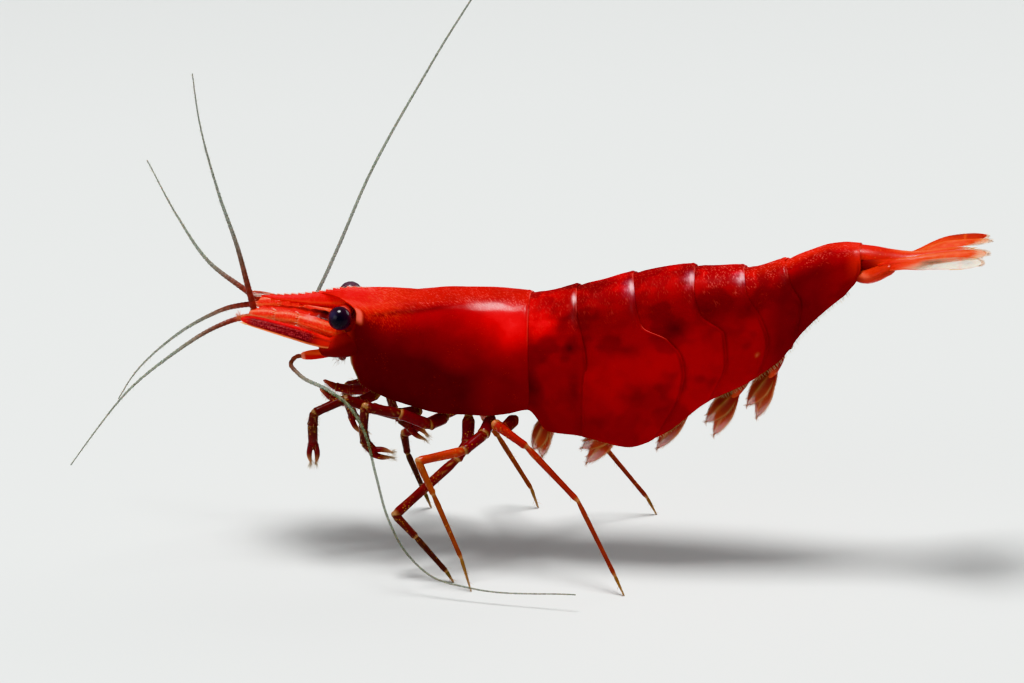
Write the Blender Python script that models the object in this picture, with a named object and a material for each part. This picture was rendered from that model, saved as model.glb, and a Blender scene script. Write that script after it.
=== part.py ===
"""Cherry shrimp (Neocaridina davidi, adult female), still model at life size.

Units: the named sizes are millimetres and are turned into metres when a mesh is made.
Axes: the head points along -X, the animal's left side is -Y, +Z is up and the floor is z = 0.
The body is one closed surface read from a few stations, parted into carapace and abdomen
segments along curved edges. Limbs and feelers are lofts through their joints.
"""

import math

import bmesh
import bpy
import numpy as np
from mathutils import Vector

MM = 0.001

# Gap that neighbouring pieces keep
GAP = 0.3

# Body stations: x, top, height of the widest place, lower edge, half width, half width at the edge
STATIONS = (
    (-7.6, 11.30, 9.90, 7.95, 1.20, 0.85),
    (-6.5, 11.35, 9.50, 7.28, 1.55, 1.20),
    (-5.2, 11.38, 9.25, 6.90, 1.80, 1.42),
    (-3.6, 11.52, 9.15, 6.62, 1.93, 1.60),
    (-2.0, 11.60, 9.15, 6.60, 1.95, 1.65),
    (-0.8, 11.55, 9.20, 6.75, 1.92, 1.66),
    (0.0, 11.48, 9.20, 6.95, 1.88, 1.66),
    (0.9, 11.60, 9.10, 6.05, 1.90, 1.68),
    (2.3, 11.98, 9.20, 5.90, 1.97, 1.70),
    (4.2, 12.50, 9.40, 5.50, 2.00, 1.68),
    (5.8, 12.88, 9.90, 6.20, 1.92, 1.60),
    (7.4, 12.97, 10.50, 7.50, 1.75, 1.42),
    (9.0, 12.99, 11.00, 8.35, 1.54, 1.25),
    (10.4, 13.35, 11.60, 9.35, 1.28, 1.02),
    (11.4, 13.80, 12.30, 10.65, 1.08, 0.85),
    (12.5, 14.20, 13.10, 11.75, 0.97, 0.72),
    (13.8, 14.32, 13.50, 12.80, 0.86, 0.60),
)

# Depth of the hollow under the body: x, depth
HOLLOW = (
    (-7.6, 0.25),
    (-0.4, 0.35),
    (1.0, 0.7),
    (3.0, 1.2),
    (5.5, 1.1),
    (7.3, 0.4),
    (8.2, 0.1),
    (13.8, 0.1),
)
PLEURON_THICK = 0.5

# Edges between body pieces: share of the way from the back line down to the lower edge, x
EDGES = {
    "carapace_front": ((0.0, -7.45), (0.14, -7.2), (0.27, -6.95), (0.42, -7.45), (0.8, -7.5), (1.0, -7.15)),
    "carapace_rear": ((0.0, -0.05), (0.5, 0.05), (0.85, 0.05), (1.0, -0.25)),
    "segment_1_rear": ((0.0, 1.88), (0.25, 2.05), (0.38, 2.33), (0.5, 2.5), (0.65, 2.42), (1.0, 2.35)),
    "segment_2_rear": (
        (0.0, 4.2),
        (0.26, 4.5),
        (0.36, 4.8),
        (0.45, 5.85),
        (0.55, 6.4),
        (0.68, 6.58),
        (0.8, 6.42),
        (0.9, 5.95),
        (1.0, 5.3),
    ),
    "segment_3_rear": ((0.0, 6.8), (0.2, 6.85), (0.36, 7.15), (0.52, 8.2), (0.75, 8.3), (1.0, 7.6)),
    "segment_4_rear": ((0.0, 8.82), (0.25, 9.0), (0.5, 9.7), (0.75, 10.0), (1.0, 9.6)),
    "segment_5_rear": ((0.0, 10.5), (0.3, 10.8), (0.6, 11.3), (1.0, 11.05)),
    "segment_6_rear": ((0.0, 13.6), (0.5, 13.7), (1.0, 13.4)),
}
BODY_EDGES = (
    ("carapace", "carapace_front", "carapace_rear", 20),
    ("abdomen_1", "carapace_rear", "segment_1_rear", 5),
    ("abdomen_2", "segment_1_rear", "segment_2_rear", 8),
    ("abdomen_3", "segment_2_rear", "segment_3_rear", 8),
    ("abdomen_4", "segment_3_rear", "segment_4_rear", 6),
    ("abdomen_5", "segment_4_rear", "segment_5_rear", 5),
    ("abdomen_6", "segment_5_rear", "segment_6_rear", 7),
)
REAR_RIM = 0.07
RIM_WIDTH = 0.55
END_MIDDLE_DROP = 0.15
SIDE_STEPS = 13
CAP_STEPS = 3

# Rostrum: x, upper edge, lower edge, half thickness
ROSTRUM = (
    (-11.4, 10.96, 10.88, 0.06),
    (-10.8, 10.98, 10.78, 0.17),
    (-9.9, 11.04, 10.68, 0.24),
    (-8.9, 11.18, 10.56, 0.26),
    (-8.0, 11.36, 10.46, 0.30),
    (-7.2, 11.42, 10.40, 0.42),
    (-6.4, 11.40, 10.60, 0.30),
)
UPPER_TEETH = 11
UPPER_TOOTH_SPAN = (-10.9, -6.9)
LOWER_TEETH = 4
LOWER_TOOTH_SPAN = (-10.8, -9.5)
TOOTH_LENGTH = 0.34
TOOTH_RADIUS = 0.09

EYE_CENTRE = (-7.85, 1.58, 10.62)
EYE_RADIUS = 0.48
EYE_STALK_START = (-7.75, 0.62, 10.62)
EYE_STALK_RADIUS = 0.27

# Feelers and their bases, written for the left side with y counted outwards
ANTENNULE_BASE = (
    (-7.85, 0.72, 9.66),
    (-8.5, 0.80, 9.88),
    (-9.5, 0.82, 10.25),
    (-10.6, 0.80, 10.38),
    (-11.6, 0.74, 10.43),
)
ANTENNULE_BASE_RADII = (0.30, 0.37, 0.37, 0.35, 0.28, 0.33, 0.26, 0.30, 0.25)
ANTENNULE_LEFT_UPPER = (
    (-11.72, 0.62, 10.90),
    (-11.9, 0.68, 11.8),
    (-12.16, 0.9, 13.1),
    (-12.86, 1.7, 16.0),
    (-13.51, 2.5, 19.6),
    (-13.68, 2.7, 21.4),
)
ANTENNULE_LEFT_LOWER = (
    (-11.95, 0.80, 10.33),
    (-12.5, 0.9, 10.14),
    (-13.06, 1.1, 9.88),
    (-14.91, 2.2, 8.87),
    (-16.49, 3.2, 7.66),
    (-17.84, 4.1, 6.02),
    (-18.75, 4.65, 4.75),
)
ANTENNULE_RIGHT_UPPER = (
    (-11.95, 0.68, 10.85),
    (-12.4, 0.78, 11.0),
    (-13.71, 1.3, 11.75),
    (-15.29, 2.25, 13.5),
    (-16.7, 3.2, 15.6),
)
ANTENNULE_RIGHT_LOWER = (
    (-12.0, 0.76, 10.28),
    (-12.98, 0.95, 9.96),
    (-13.88, 1.3, 9.43),
    (-15.83, 2.3, 7.82),
    (-17.5, 3.1, 5.9),
    (-18.2, 3.5, 4.7),
)
ANTENNA_BASE = ((-7.95, 0.86, 8.92), (-8.4, 1.02, 8.82), (-9.0, 1.15, 8.70), (-9.5, 1.27, 8.62))
ANTENNA_BASE_RADII = (0.30, 0.31, 0.27, 0.25)
ANTENNA_LEFT = (
    (-9.84, 1.40, 8.62),
    (-9.98, 1.66, 8.42),
    (-9.62, 2.05, 8.20),
    (-8.2, 2.85, 7.86),
    (-7.3, 3.45, 7.55),
    (-6.5, 4.2, 6.7),
    (-5.9, 4.9, 5.0),
    (-5.36, 5.3, 3.3),
    (-4.6, 5.5, 1.9),
    (-3.5, 5.7, 0.95),
    (-1.8, 6.0, 0.62),
    (2.6, 6.5, 0.75),
)
ANTENNA_RIGHT = (
    (-9.84, 1.42, 8.64),
    (-10.0, 1.85, 8.75),
    (-9.95, 2.25, 9.3),
    (-9.5, 2.38, 10.1),
    (-8.57, 2.6, 12.15),
    (-7.42, 3.6, 14.96),
    (-4.89, 6.1, 19.6),
    (-2.3, 8.4, 24.0),
    (-1.4, 9.1, 26.2),
    (-0.9, 9.6, 28.4),
)
FEELER_RADIUS = 0.25
FEELER_TIP_RADIUS = 0.1
FEELER_SIDES = 6

# Antennal scale: middle line, half widths
SCALE_LINE = (
    (-8.35, 1.46, 9.42),
    (-8.9, 1.60, 9.56),
    (-9.8, 1.74, 9.90),
    (-10.8, 1.76, 10.20),
    (-11.6, 1.76, 10.38),
    (-12.0, 1.76, 10.44),
)
SCALE_HALF_WIDTHS = (0.22, 0.31, 0.34, 0.32, 0.26, 0.12)
SCALE_THICK = 0.44
SCALE_TILT = 0.68

MOUTH_CENTRE = (-8.02, 0.0, 8.52)
MOUTH_RADII = (0.36, 0.52, 0.82)

# Third maxillipeds, held low under the mouth
MAXILLIPED = (
    (-6.5, 0.55, 6.95),
    (-7.1, 0.70, 6.66),
    (-7.8, 0.74, 6.60),
    (-8.4, 0.64, 6.76),
    (-8.85, 0.52, 7.06),
)
MAXILLIPED_RADII = (0.30, 0.30, 0.27, 0.25, 0.16)

# Walking legs: joints from the root to the tip, y counted outwards
LEGS_LEFT = {
    1: (
        (-4.75, 0.85, 6.35),
        (-5.5, 1.15, 6.3),
        (-6.55, 1.55, 6.7),
        (-7.65, 1.85, 7.15),
        (-8.86, 2.3, 6.65),
        (-8.93, 2.3, 6.1),
        (-8.91, 2.3, 5.15),
    ),
    2: (
        (-3.6, 0.9, 6.15),
        (-4.15, 1.5, 6.05),
        (-5.3, 2.05, 6.7),
        (-6.68, 2.55, 7.1),
        (-6.76, 2.55, 6.1),
        (-6.68, 2.5, 5.5),
        (-6.3, 2.5, 5.1),
    ),
    3: (
        (-2.55, 0.95, 6.15),
        (-2.5, 1.6, 5.35),
        (-2.9, 2.15, 4.8),
        (-5.31, 3.5, 2.73),
        (-4.41, 3.7, 1.86),
        (-3.1, 3.9, 0.45),
        (-2.8, 3.95, 0.0),
    ),
    4: (
        (-1.6, 1.05, 6.2),
        (-1.8, 2.0, 5.9),
        (-2.5, 2.95, 5.5),
        (-4.27, 3.95, 5.35),
        (-3.6, 4.22, 4.0),
        (-2.39, 4.7, 1.42),
        (-1.95, 4.85, 0.0),
    ),
    5: (
        (-0.65, 1.1, 6.25),
        (-0.95, 1.8, 6.1),
        (-1.2, 2.6, 6.6),
        (1.05, 2.95, 5.05),
        (2.35, 3.6, 3.76),
        (4.0, 4.4, 0.8),
        (4.4, 4.55, 0.0),
    ),
}
LEGS_RIGHT = {
    1: (
        (-4.75, 0.85, 6.35),
        (-5.4, 1.2, 6.25),
        (-6.3, 1.5, 6.4),
        (-7.2, 1.75, 6.65),
        (-8.1, 2.0, 6.3),
        (-8.1, 1.95, 5.75),
        (-7.8, 1.85, 4.95),
    ),
    2: (
        (-3.6, 0.9, 6.15),
        (-4.1, 1.5, 5.9),
        (-5.2, 2.1, 6.05),
        (-6.4, 2.6, 5.9),
        (-6.2, 2.6, 5.1),
        (-5.9, 2.55, 4.7),
        (-5.4, 2.5, 4.35),
    ),
    3: (
        (-2.55, 0.95, 6.15),
        (-2.7, 1.6, 5.75),
        (-3.3, 2.4, 5.4),
        (-5.9, 3.5, 3.7),
        (-5.8, 3.8, 2.7),
        (-5.1, 4.25, 0.7),
        (-4.85, 4.35, 0.0),
    ),
    4: (
        (-1.6, 1.05, 6.2),
        (-1.55, 1.75, 5.95),
        (-1.6, 2.6, 5.6),
        (-2.6, 4.2, 4.4),
        (-2.0, 4.5, 3.4),
        (-0.6, 4.85, 0.9),
        (-0.3, 4.9, 0.0),
    ),
    5: (
        (-0.65, 1.1, 6.25),
        (-0.3, 1.8, 6.1),
        (0.5, 2.6, 5.75),
        (1.5, 3.7, 4.6),
        (2.3, 4.0, 3.7),
        (4.4, 4.65, 0.8),
        (4.8, 4.75, 0.0),
    ),
}
CLAWED_RADII = (0.30, 0.29, 0.28, 0.27, 0.25, 0.29, 0.26)
WALKING_RADII = (0.32, 0.30, 0.29, 0.27, 0.26, 0.25, 0.17)
LEG_SIDES = 8
CLAW_LENGTH = 0.75
CLAW_SPREAD = 0.16
CLAW_RADIUS = 0.15
CLAW_TIPS = {
    ("left", 1): (0.0, 0.0, -1.0),
    ("left", 2): (0.9, 0.1, -0.15),
    ("right", 1): (0.55, -0.15, -0.8),
    ("right", 2): (0.8, -0.1, -0.5),
}

# Pleopods: x of the root, blade length, forward slant in degrees
PLEOPODS = ((0.75, 1.4, 15.0), (4.1, 2.1, 48.0), (6.9, 2.2, 42.0), (8.85, 2.0, 34.0), (10.3, 2.0, 26.0))
PLEOPOD_ROOT_Y = 0.46
PLEOPOD_STEM = 0.55
PLEOPOD_STEM_RADIUS = 0.27
PLEOPOD_BLADE_HALF_WIDTH = 0.31
PLEOPOD_BLADE_SPREAD = 9.0
PLEOPOD_BLADE_THICK = 0.5

# Tail fan
TELSON_LINE = (
    (13.9, 0.0, 13.98),
    (14.7, 0.0, 13.92),
    (15.7, 0.0, 13.80),
    (17.0, 0.0, 13.97),
    (18.2, 0.0, 14.15),
)
TELSON_HALF_WIDTHS = (0.56, 0.45, 0.38, 0.3, 0.16)
TELSON_THICK = (0.75, 0.62, 0.55, 0.5, 0.36)
UROPOD_STEM = ((13.75, 0.66, 12.98), (14.3, 0.84, 13.1), (14.85, 0.98, 13.34))
UROPOD_STEM_RADIUS = 0.36
ENDOPOD_LINE = (
    (14.6, 0.98, 13.30),
    (15.5, 1.10, 13.62),
    (16.8, 1.14, 13.94),
    (18.1, 1.15, 14.16),
    (18.8, 1.15, 14.26),
)
ENDOPOD_HALF_WIDTHS = (0.26, 0.38, 0.44, 0.38, 0.12)
EXOPOD_LINE = (
    (14.6, 1.0, 13.30),
    (15.5, 1.28, 13.62),
    (16.8, 1.60, 13.92),
    (18.0, 1.88, 14.08),
    (18.7, 1.98, 14.13),
)
EXOPOD_HALF_WIDTHS = (0.26, 0.46, 0.60, 0.54, 0.16)
BLADE_THICK = 0.5

SHELL_RED = (0.55, 0.012, 0.008)
SHELL_DARK = (0.22, 0.004, 0.004)
HEAD_RED = (0.80, 0.09, 0.03)
LIMB_RED = (0.35, 0.03, 0.015)
FEELER_TINT = (0.30, 0.22, 0.17)
EYE_BLACK = (0.01, 0.01, 0.018)


def clear_scene():
    for obj in list(bpy.data.objects):
        bpy.data.objects.remove(obj, do_unlink=True)


def material(name, colour, roughness):
    made = bpy.data.materials.get(name) or bpy.data.materials.new(name)
    made.use_nodes = True
    shader = made.node_tree.nodes["Principled BSDF"]
    shader.inputs["Base Color"].default_value = (*colour, 1.0)
    shader.inputs["Roughness"].default_value = roughness
    shader.inputs["Metallic"].default_value = 0.0
    return made


def monotone(stations, at):
    """Smooth values through (place, value, ...) rows that never overshoot between two rows."""
    table = np.array(stations, float)
    place, value = table[:, 0], table[:, 1:]
    step = np.diff(place)[:, None]
    slope = np.diff(value, axis=0) / step
    same = slope[:-1] * slope[1:] > 0
    inner = np.where(same, 2 * slope[:-1] * slope[1:] / np.where(same, slope[:-1] + slope[1:], 1), 0)
    tangent = np.vstack([slope[:1], inner, slope[-1:]])
    at = np.clip(np.asarray(at, float), place[0], place[-1])
    index = np.clip(np.searchsorted(place, at, side="right") - 1, 0, len(step) - 1)
    width = step[index, 0]
    share = ((at - place[index]) / width)[..., None]
    width = width[..., None]
    return (
        (1 + 2 * share) * (1 - share) ** 2 * value[index]
        + share * (1 - share) ** 2 * width * tangent[index]
        + share**2 * (3 - 2 * share) * value[index + 1]
        - share**2 * (1 - share) * width * tangent[index + 1]
    )


def smooth_path(points, count):
    """Points of an even, smooth curve through the given ones."""
    points = np.array(points, float)
    place = np.concatenate([[0], np.cumsum(np.linalg.norm(np.diff(points, axis=0), axis=1))])
    tangent = np.gradient(points, place, axis=0)
    at = np.linspace(0, place[-1], count)
    index = np.clip(np.searchsorted(place, at, side="right") - 1, 0, len(place) - 2)
    width = (place[index + 1] - place[index])[:, None]
    share = ((at - place[index])[:, None]) / width
    return (
        (1 + 2 * share) * (1 - share) ** 2 * points[index]
        + share * (1 - share) ** 2 * width * tangent[index]
        + share**2 * (3 - 2 * share) * points[index + 1]
        - share**2 * (1 - share) * width * tangent[index + 1]
    )


def spread(values, count):
    """The given values, read evenly at count places."""
    return np.interp(np.linspace(0, 1, count), np.linspace(0, 1, len(values)), values)


def sided(points, side):
    """Points with y counted outwards, put on the left (-1) or right (+1) side."""
    return [(x, side * y, z) for x, y, z in points]


def mesh_object(name, points, faces):
    """A closed mesh object of points in millimetres, its faces turned outwards."""
    mesh = bpy.data.meshes.new(name)
    mesh.from_pydata([Vector(point) * MM for point in points], [], faces)
    shape = bmesh.new()
    shape.from_mesh(mesh)
    bmesh.ops.recalc_face_normals(shape, faces=shape.faces)
    if shape.calc_volume(signed=True) < 0:
        bmesh.ops.reverse_faces(shape, faces=shape.faces)
    shape.to_mesh(mesh)
    shape.free()
    mesh.shade_smooth()
    made = bpy.data.objects.new(name, mesh)
    bpy.context.scene.collection.objects.link(made)
    return made


def loft(name, rings):
    """A closed surface over rings of equal point counts, ends fanned to their middles."""
    rings = np.array(rings, float)
    count, around = rings.shape[:2]
    points = [tuple(point) for point in rings.reshape(-1, 3)]
    faces = []
    for row in range(count - 1):
        for column in range(around):
            after = (column + 1) % around
            first, second = row * around, (row + 1) * around
            faces.append((first + column, first + after, second + after, second + column))
    for row in (0, count - 1):
        middle = len(points)
        points.append(tuple(rings[row].mean(axis=0)))
        for column in range(around):
            after = (column + 1) % around
            faces.append((row * around + column, middle, row * around + after))
    return mesh_object(name, points, faces)


def frames_along(path):
    """Unit tangents and two unit cross directions that don't twist along the path."""
    path = np.array(path, float)
    ways = np.diff(path, axis=0)
    ways /= np.linalg.norm(ways, axis=1)[:, None]
    tangent = np.vstack([ways[:1], ways[:-1] + ways[1:], ways[-1:]])
    tangent /= np.linalg.norm(tangent, axis=1)[:, None]
    side = np.cross(tangent[0], (0.0, 0.0, 1.0))
    if np.linalg.norm(side) < 0.1:
        side = np.cross(tangent[0], (1.0, 0.0, 0.0))
    sides = []
    for way in tangent:
        side = side - way * side.dot(way)
        side = side / np.linalg.norm(side)
        sides.append(side)
    sides = np.array(sides)
    return tangent, sides, np.cross(sides, tangent)


def tube(name, path, radii, around, foot=False):
    """A round loft along the path. A foot ends in a flat on the floor."""
    path = np.array(path, float)
    radii = np.array(radii, float)[:, None, None]
    tangent, side, up = frames_along(path)
    angle = np.linspace(0, 2 * math.pi, around, endpoint=False)
    across = side[:, None] * np.cos(angle)[:, None] + up[:, None] * np.sin(angle)[:, None]
    rings = path[:, None] + across * radii
    if foot:
        last = rings[-1]
        rings[-1] = last - tangent[-1] * (last[:, 2:] / tangent[-1, 2])
    return loft(name, rings)


def blade(name, line, half_widths, thick, outward, count=7):
    """A flat leaf along the line: a lens section, its width lying along the outward direction."""
    path = smooth_path(line, count)
    widths = spread(half_widths, count)
    thick = spread(np.atleast_1d(thick), count)
    tangent = frames_along(path)[0]
    out = np.array(outward, float)
    wide = out - tangent * (tangent @ out)[:, None]
    wide /= np.linalg.norm(wide, axis=1)[:, None]
    through = np.cross(wide, tangent)
    upper = ((1, 0), (0.72, 0.36), (0, 0.5), (-0.72, 0.36))
    section = upper + tuple((-w, -h) for w, h in upper)
    rings = [
        [path[row] + wide[row] * w * widths[row] + through[row] * h * thick[row] for w, h in section]
        for row in range(count)
    ]
    return loft(name, rings)


def joined(name, pieces):
    """The pieces fused into the first by one union. Only the largest closed surface stays."""
    base, others = pieces[0], pieces[1:]
    group = bpy.data.collections.new(name + "_pieces")
    for piece in others:
        group.objects.link(piece)
    fuse = base.modifiers.new("Union", "BOOLEAN")
    fuse.operation = "UNION"
    fuse.solver = "EXACT"
    fuse.operand_type = "COLLECTION"
    fuse.collection = group
    graph = bpy.context.evaluated_depsgraph_get()
    graph.update()
    mesh = bpy.data.meshes.new_from_object(base.evaluated_get(graph))
    base.modifiers.clear()
    base.data = mesh
    for piece in others:
        bpy.data.objects.remove(piece, do_unlink=True)
    bpy.data.collections.remove(group)
    keep_largest(mesh)
    base.name = name
    mesh.name = name
    mesh.shade_smooth()
    return base


def keep_largest(mesh):
    shape = bmesh.new()
    shape.from_mesh(mesh)
    bmesh.ops.triangulate(shape, faces=shape.faces)
    bmesh.ops.dissolve_degenerate(shape, edges=shape.edges, dist=1e-7)
    left = set(shape.faces)
    groups = []
    while left:
        stack = [left.pop()]
        group = set(stack)
        while stack:
            face = stack.pop()
            for edge in face.edges:
                for other in edge.link_faces:
                    if other in left:
                        left.discard(other)
                        group.add(other)
                        stack.append(other)
        groups.append(group)
    largest = max(groups, key=lambda group: sum(face.calc_area() for face in group))
    loose = [face for face in shape.faces if face not in largest]
    bmesh.ops.delete(shape, geom=loose, context="FACES")
    shape.to_mesh(mesh)
    shape.free()


def half_section(x, share):
    """Outward y and height z of the body's side at x, for shares 0 (back line) to 1 (lower edge)."""
    top, widest, edge, half, edge_half = np.moveaxis(monotone(STATIONS, x), -1, 0)
    turn = np.minimum(share * 2, 1) * math.pi / 2
    down = np.maximum(share * 2 - 1, 0)
    y = half * np.sin(turn) ** 0.9 - (half - edge_half) * down**2
    z = widest + (top - widest) * np.cos(turn) - (widest - edge) * down
    return y, z


def body_ring(x_side):
    """One closed ring of the body for the x of each side share, with the hollow underneath."""
    share = np.linspace(0, 1, SIDE_STEPS + 1)
    y, z = half_section(x_side, share)
    side = np.stack([x_side, y, z], axis=-1)
    x = x_side[-1]
    depth = monotone(HOLLOW, [x])[0, 0]
    edge_y, edge_z = y[-1], z[-1]
    inner = edge_y - PLEURON_THICK
    under = np.array([(x, inner, edge_z), (x, inner * 0.62, edge_z + depth * 0.88), (x, 0, edge_z + depth)])
    mirror = np.array([1, -1, 1])
    return np.vstack([side, under, under[1::-1] * mirror, side[:0:-1] * mirror])


def dished_end(ring):
    """Rings that shrink from an end ring to the middle of a gently dished face, outermost first."""
    x = ring[:, 0].mean()
    widest, edge = monotone(STATIONS, [x])[0, 1:3]
    middle = np.array([x, 0, widest - END_MIDDLE_DROP * (widest - edge)])
    rings = []
    for reach in np.linspace(1, 0, CAP_STEPS + 1)[1:-1]:
        inside = middle + (ring - middle) * reach
        inside[:, 0] = x + (ring[:, 0] - x) * reach**2
        rings.append(inside)
    return rings


def body_piece(name, front, rear, rows):
    """The body between two edges, with a slightly raised rim at its rear and dished ends."""
    share = np.linspace(0, 1, SIDE_STEPS + 1)
    front_x = monotone(EDGES[front], share)[:, 0] + GAP / 2
    rear_x = monotone(EDGES[rear], share)[:, 0] - GAP / 2
    length = rear_x[0] - front_x[0]
    rings = []
    for step in (*np.linspace(0, 1, rows)[:-1], 1 - RIM_WIDTH / 2 / length, 1):
        ring = body_ring(front_x + (rear_x - front_x) * step)
        outward = (ring - ring.mean(axis=0)) * (0, 1, 1)
        outward /= np.linalg.norm(outward, axis=1)[:, None]
        raised = max(0, 1 - (1 - step) * length / RIM_WIDTH)
        rings.append(ring + outward * REAR_RIM * raised)
    return loft(name, dished_end(rings[0])[::-1] + rings + dished_end(rings[-1]))


def make_rostrum():
    """The rostrum blade with teeth along both edges, as separate closed pieces."""
    table = np.array(ROSTRUM)
    rings = []
    for x in np.linspace(table[0, 0], table[-1, 0], 13):
        top, low, half = (np.interp(x, table[:, 0], table[:, column]) for column in (1, 2, 3))
        middle = (top + low * 2) / 3
        rings.append([(x, 0, top), (x, half, middle), (x, 0, low), (x, -half, middle)])
    pieces = [loft("rostrum_blade", rings)]
    for count, (first, last), column, up in (
        (UPPER_TEETH, UPPER_TOOTH_SPAN, 1, 1.0),
        (LOWER_TEETH, LOWER_TOOTH_SPAN, 2, -1.0),
    ):
        for x in np.linspace(first, last, count):
            edge = np.interp(x, table[:, 0], table[:, column])
            root = np.array([x + 0.18, 0, edge - up * 0.13])
            tip = root + np.array([-0.8, 0, 0.6 * up]) * TOOTH_LENGTH
            path = np.linspace(root, tip, 3)
            pieces.append(tube("rostrum_tooth", path, (TOOTH_RADIUS, TOOTH_RADIUS * 0.7, 0.02), 5))
    return pieces


def make_eye(name, side):
    centre = np.array(sided([EYE_CENTRE], side)[0])
    start = np.array(sided([EYE_STALK_START], side)[0])
    way = (centre - start) / np.linalg.norm(centre - start)
    rings, radii = [start, start + way * 0.25], [EYE_STALK_RADIUS, EYE_STALK_RADIUS]
    first_turn = math.asin(EYE_STALK_RADIUS / EYE_RADIUS) + 0.12
    for turn in np.linspace(first_turn, math.pi - 0.12, 9):
        rings.append(centre - way * EYE_RADIUS * math.cos(turn))
        radii.append(EYE_RADIUS * math.sin(turn))
    return tube(name, rings, radii, 16)


def make_feeler(name, line, side, count):
    path = smooth_path(sided(line, side), count)
    taper = np.clip((np.linspace(1, 0, count) * count) / 6, 0, 1)
    radii = FEELER_TIP_RADIUS + (FEELER_RADIUS - FEELER_TIP_RADIUS) * taper
    return tube(name, path, radii, FEELER_SIDES)


def make_limb(name, joints, radii, side, foot):
    """A jointed limb: each length swells a little between its two slightly pinched joints."""
    joints = np.array(sided(joints, side))
    path, widths = [joints[0]], [radii[0]]
    for index in range(len(joints) - 1):
        first, last = joints[index], joints[index + 1]
        long = np.linalg.norm(last - first)
        swell = radii[index]
        near = min(0.35 / long, 0.3)
        for place, width in ((near, swell), (1 - near, (swell + radii[index + 1]) / 2)):
            path.append(first + (last - first) * place)
            widths.append(width)
        path.append(last)
        widths.append(radii[index + 1] * (0.92 if index < len(joints) - 2 else 1.0))
    return tube(name, path, widths, LEG_SIDES, foot)


def make_clawed_leg(name, joints, side, tip_way):
    """A leg that ends in a small pincer of two fingers."""
    leg = make_limb(name, joints, CLAWED_RADII, side, False)
    palm = np.array(sided([joints[-1]], side)[0])
    way = np.array(tip_way, float)
    way /= np.linalg.norm(way)
    apart = np.cross(way, (0.0, 1.0, 0.0))
    apart /= np.linalg.norm(apart)
    fingers = []
    for turn in (-1, 1):
        root = palm - way * 0.2 + apart * turn * CLAW_SPREAD * 0.6
        bend = palm + way * CLAW_LENGTH * 0.45 + apart * turn * CLAW_SPREAD * 1.25
        tip = palm + way * CLAW_LENGTH + apart * turn * CLAW_SPREAD * 0.9
        fingers.append(tube("finger", (root, bend, tip), (CLAW_RADIUS, CLAW_RADIUS * 0.95, 0.05), 6))
    return joined(name, [leg, *fingers])


def make_pleopod(name, root_x, length, slant, side):
    """A swimming leg: a short stem and two leaves laid forward under the body."""
    edge = monotone(STATIONS, [root_x])[0, 2]
    depth = monotone(HOLLOW, [root_x])[0, 0]
    root = np.array([root_x, side * PLEOPOD_ROOT_Y, edge + depth * 0.9 - GAP])
    angle = math.radians(slant)
    way = np.array([-math.sin(angle), 0, -math.cos(angle)])
    knee = root + way * PLEOPOD_STEM
    stem = tube(name, (root, knee, knee + way * 0.1), (PLEOPOD_STEM_RADIUS, PLEOPOD_STEM_RADIUS, 0.2), 8)
    widths = np.array((0.5, 1.0, 0.85, 0.25)) * PLEOPOD_BLADE_HALF_WIDTH
    leaves = []
    for turn, share in ((-1, 1.0), (1, 0.86)):
        bent = angle + turn * math.radians(PLEOPOD_BLADE_SPREAD)
        leaf_way = np.array([-math.sin(bent), 0, -math.cos(bent)]) * length * share
        line = (knee - way * 0.3, knee + leaf_way * 0.25, knee + leaf_way * 0.65, knee + leaf_way)
        leaves.append(blade("leaf", line, widths, PLEOPOD_BLADE_THICK, (0, 1, 0), 6))
    return joined(name, [stem, *leaves])


def make_uropod(name, side):
    """One side of the tail fan: a short stem, a broad outer leaf and a narrower inner leaf."""
    stem = tube(name, sided(UROPOD_STEM, side), (UROPOD_STEM_RADIUS * 0.8, UROPOD_STEM_RADIUS, 0.26), 8)
    inner = blade("inner", sided(ENDOPOD_LINE, side), ENDOPOD_HALF_WIDTHS, BLADE_THICK, (0, side, 0), 9)
    outer = blade("outer", sided(EXOPOD_LINE, side), EXOPOD_HALF_WIDTHS, BLADE_THICK, (0, side, 0), 9)
    return joined(name, [stem, inner, outer])


def make_mouth(name):
    centre, radii = np.array(MOUTH_CENTRE), np.array(MOUTH_RADII)
    rings = []
    for turn in np.linspace(0.15, math.pi - 0.15, 9):
        angle = np.linspace(0, 2 * math.pi, 14, endpoint=False)
        unit = np.stack(
            [np.sin(turn) * np.cos(angle), np.sin(turn) * np.sin(angle), np.full(14, np.cos(turn))], axis=-1
        )
        rings.append(centre + unit * radii)
    return loft(name, rings)


def finish(obj, name, colour, roughness, holder):
    obj.name = name
    obj.data.name = name
    obj.data.materials.clear()
    obj.data.materials.append(material(name, colour, roughness))
    obj.parent = holder


def make_body(holder):
    for name, front, rear, rows in BODY_EDGES:
        piece = body_piece(name, front, rear, rows)
        if name == "carapace":
            piece = joined(name, [piece, *make_rostrum()])
        finish(piece, name, SHELL_RED, 0.28, holder)


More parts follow.
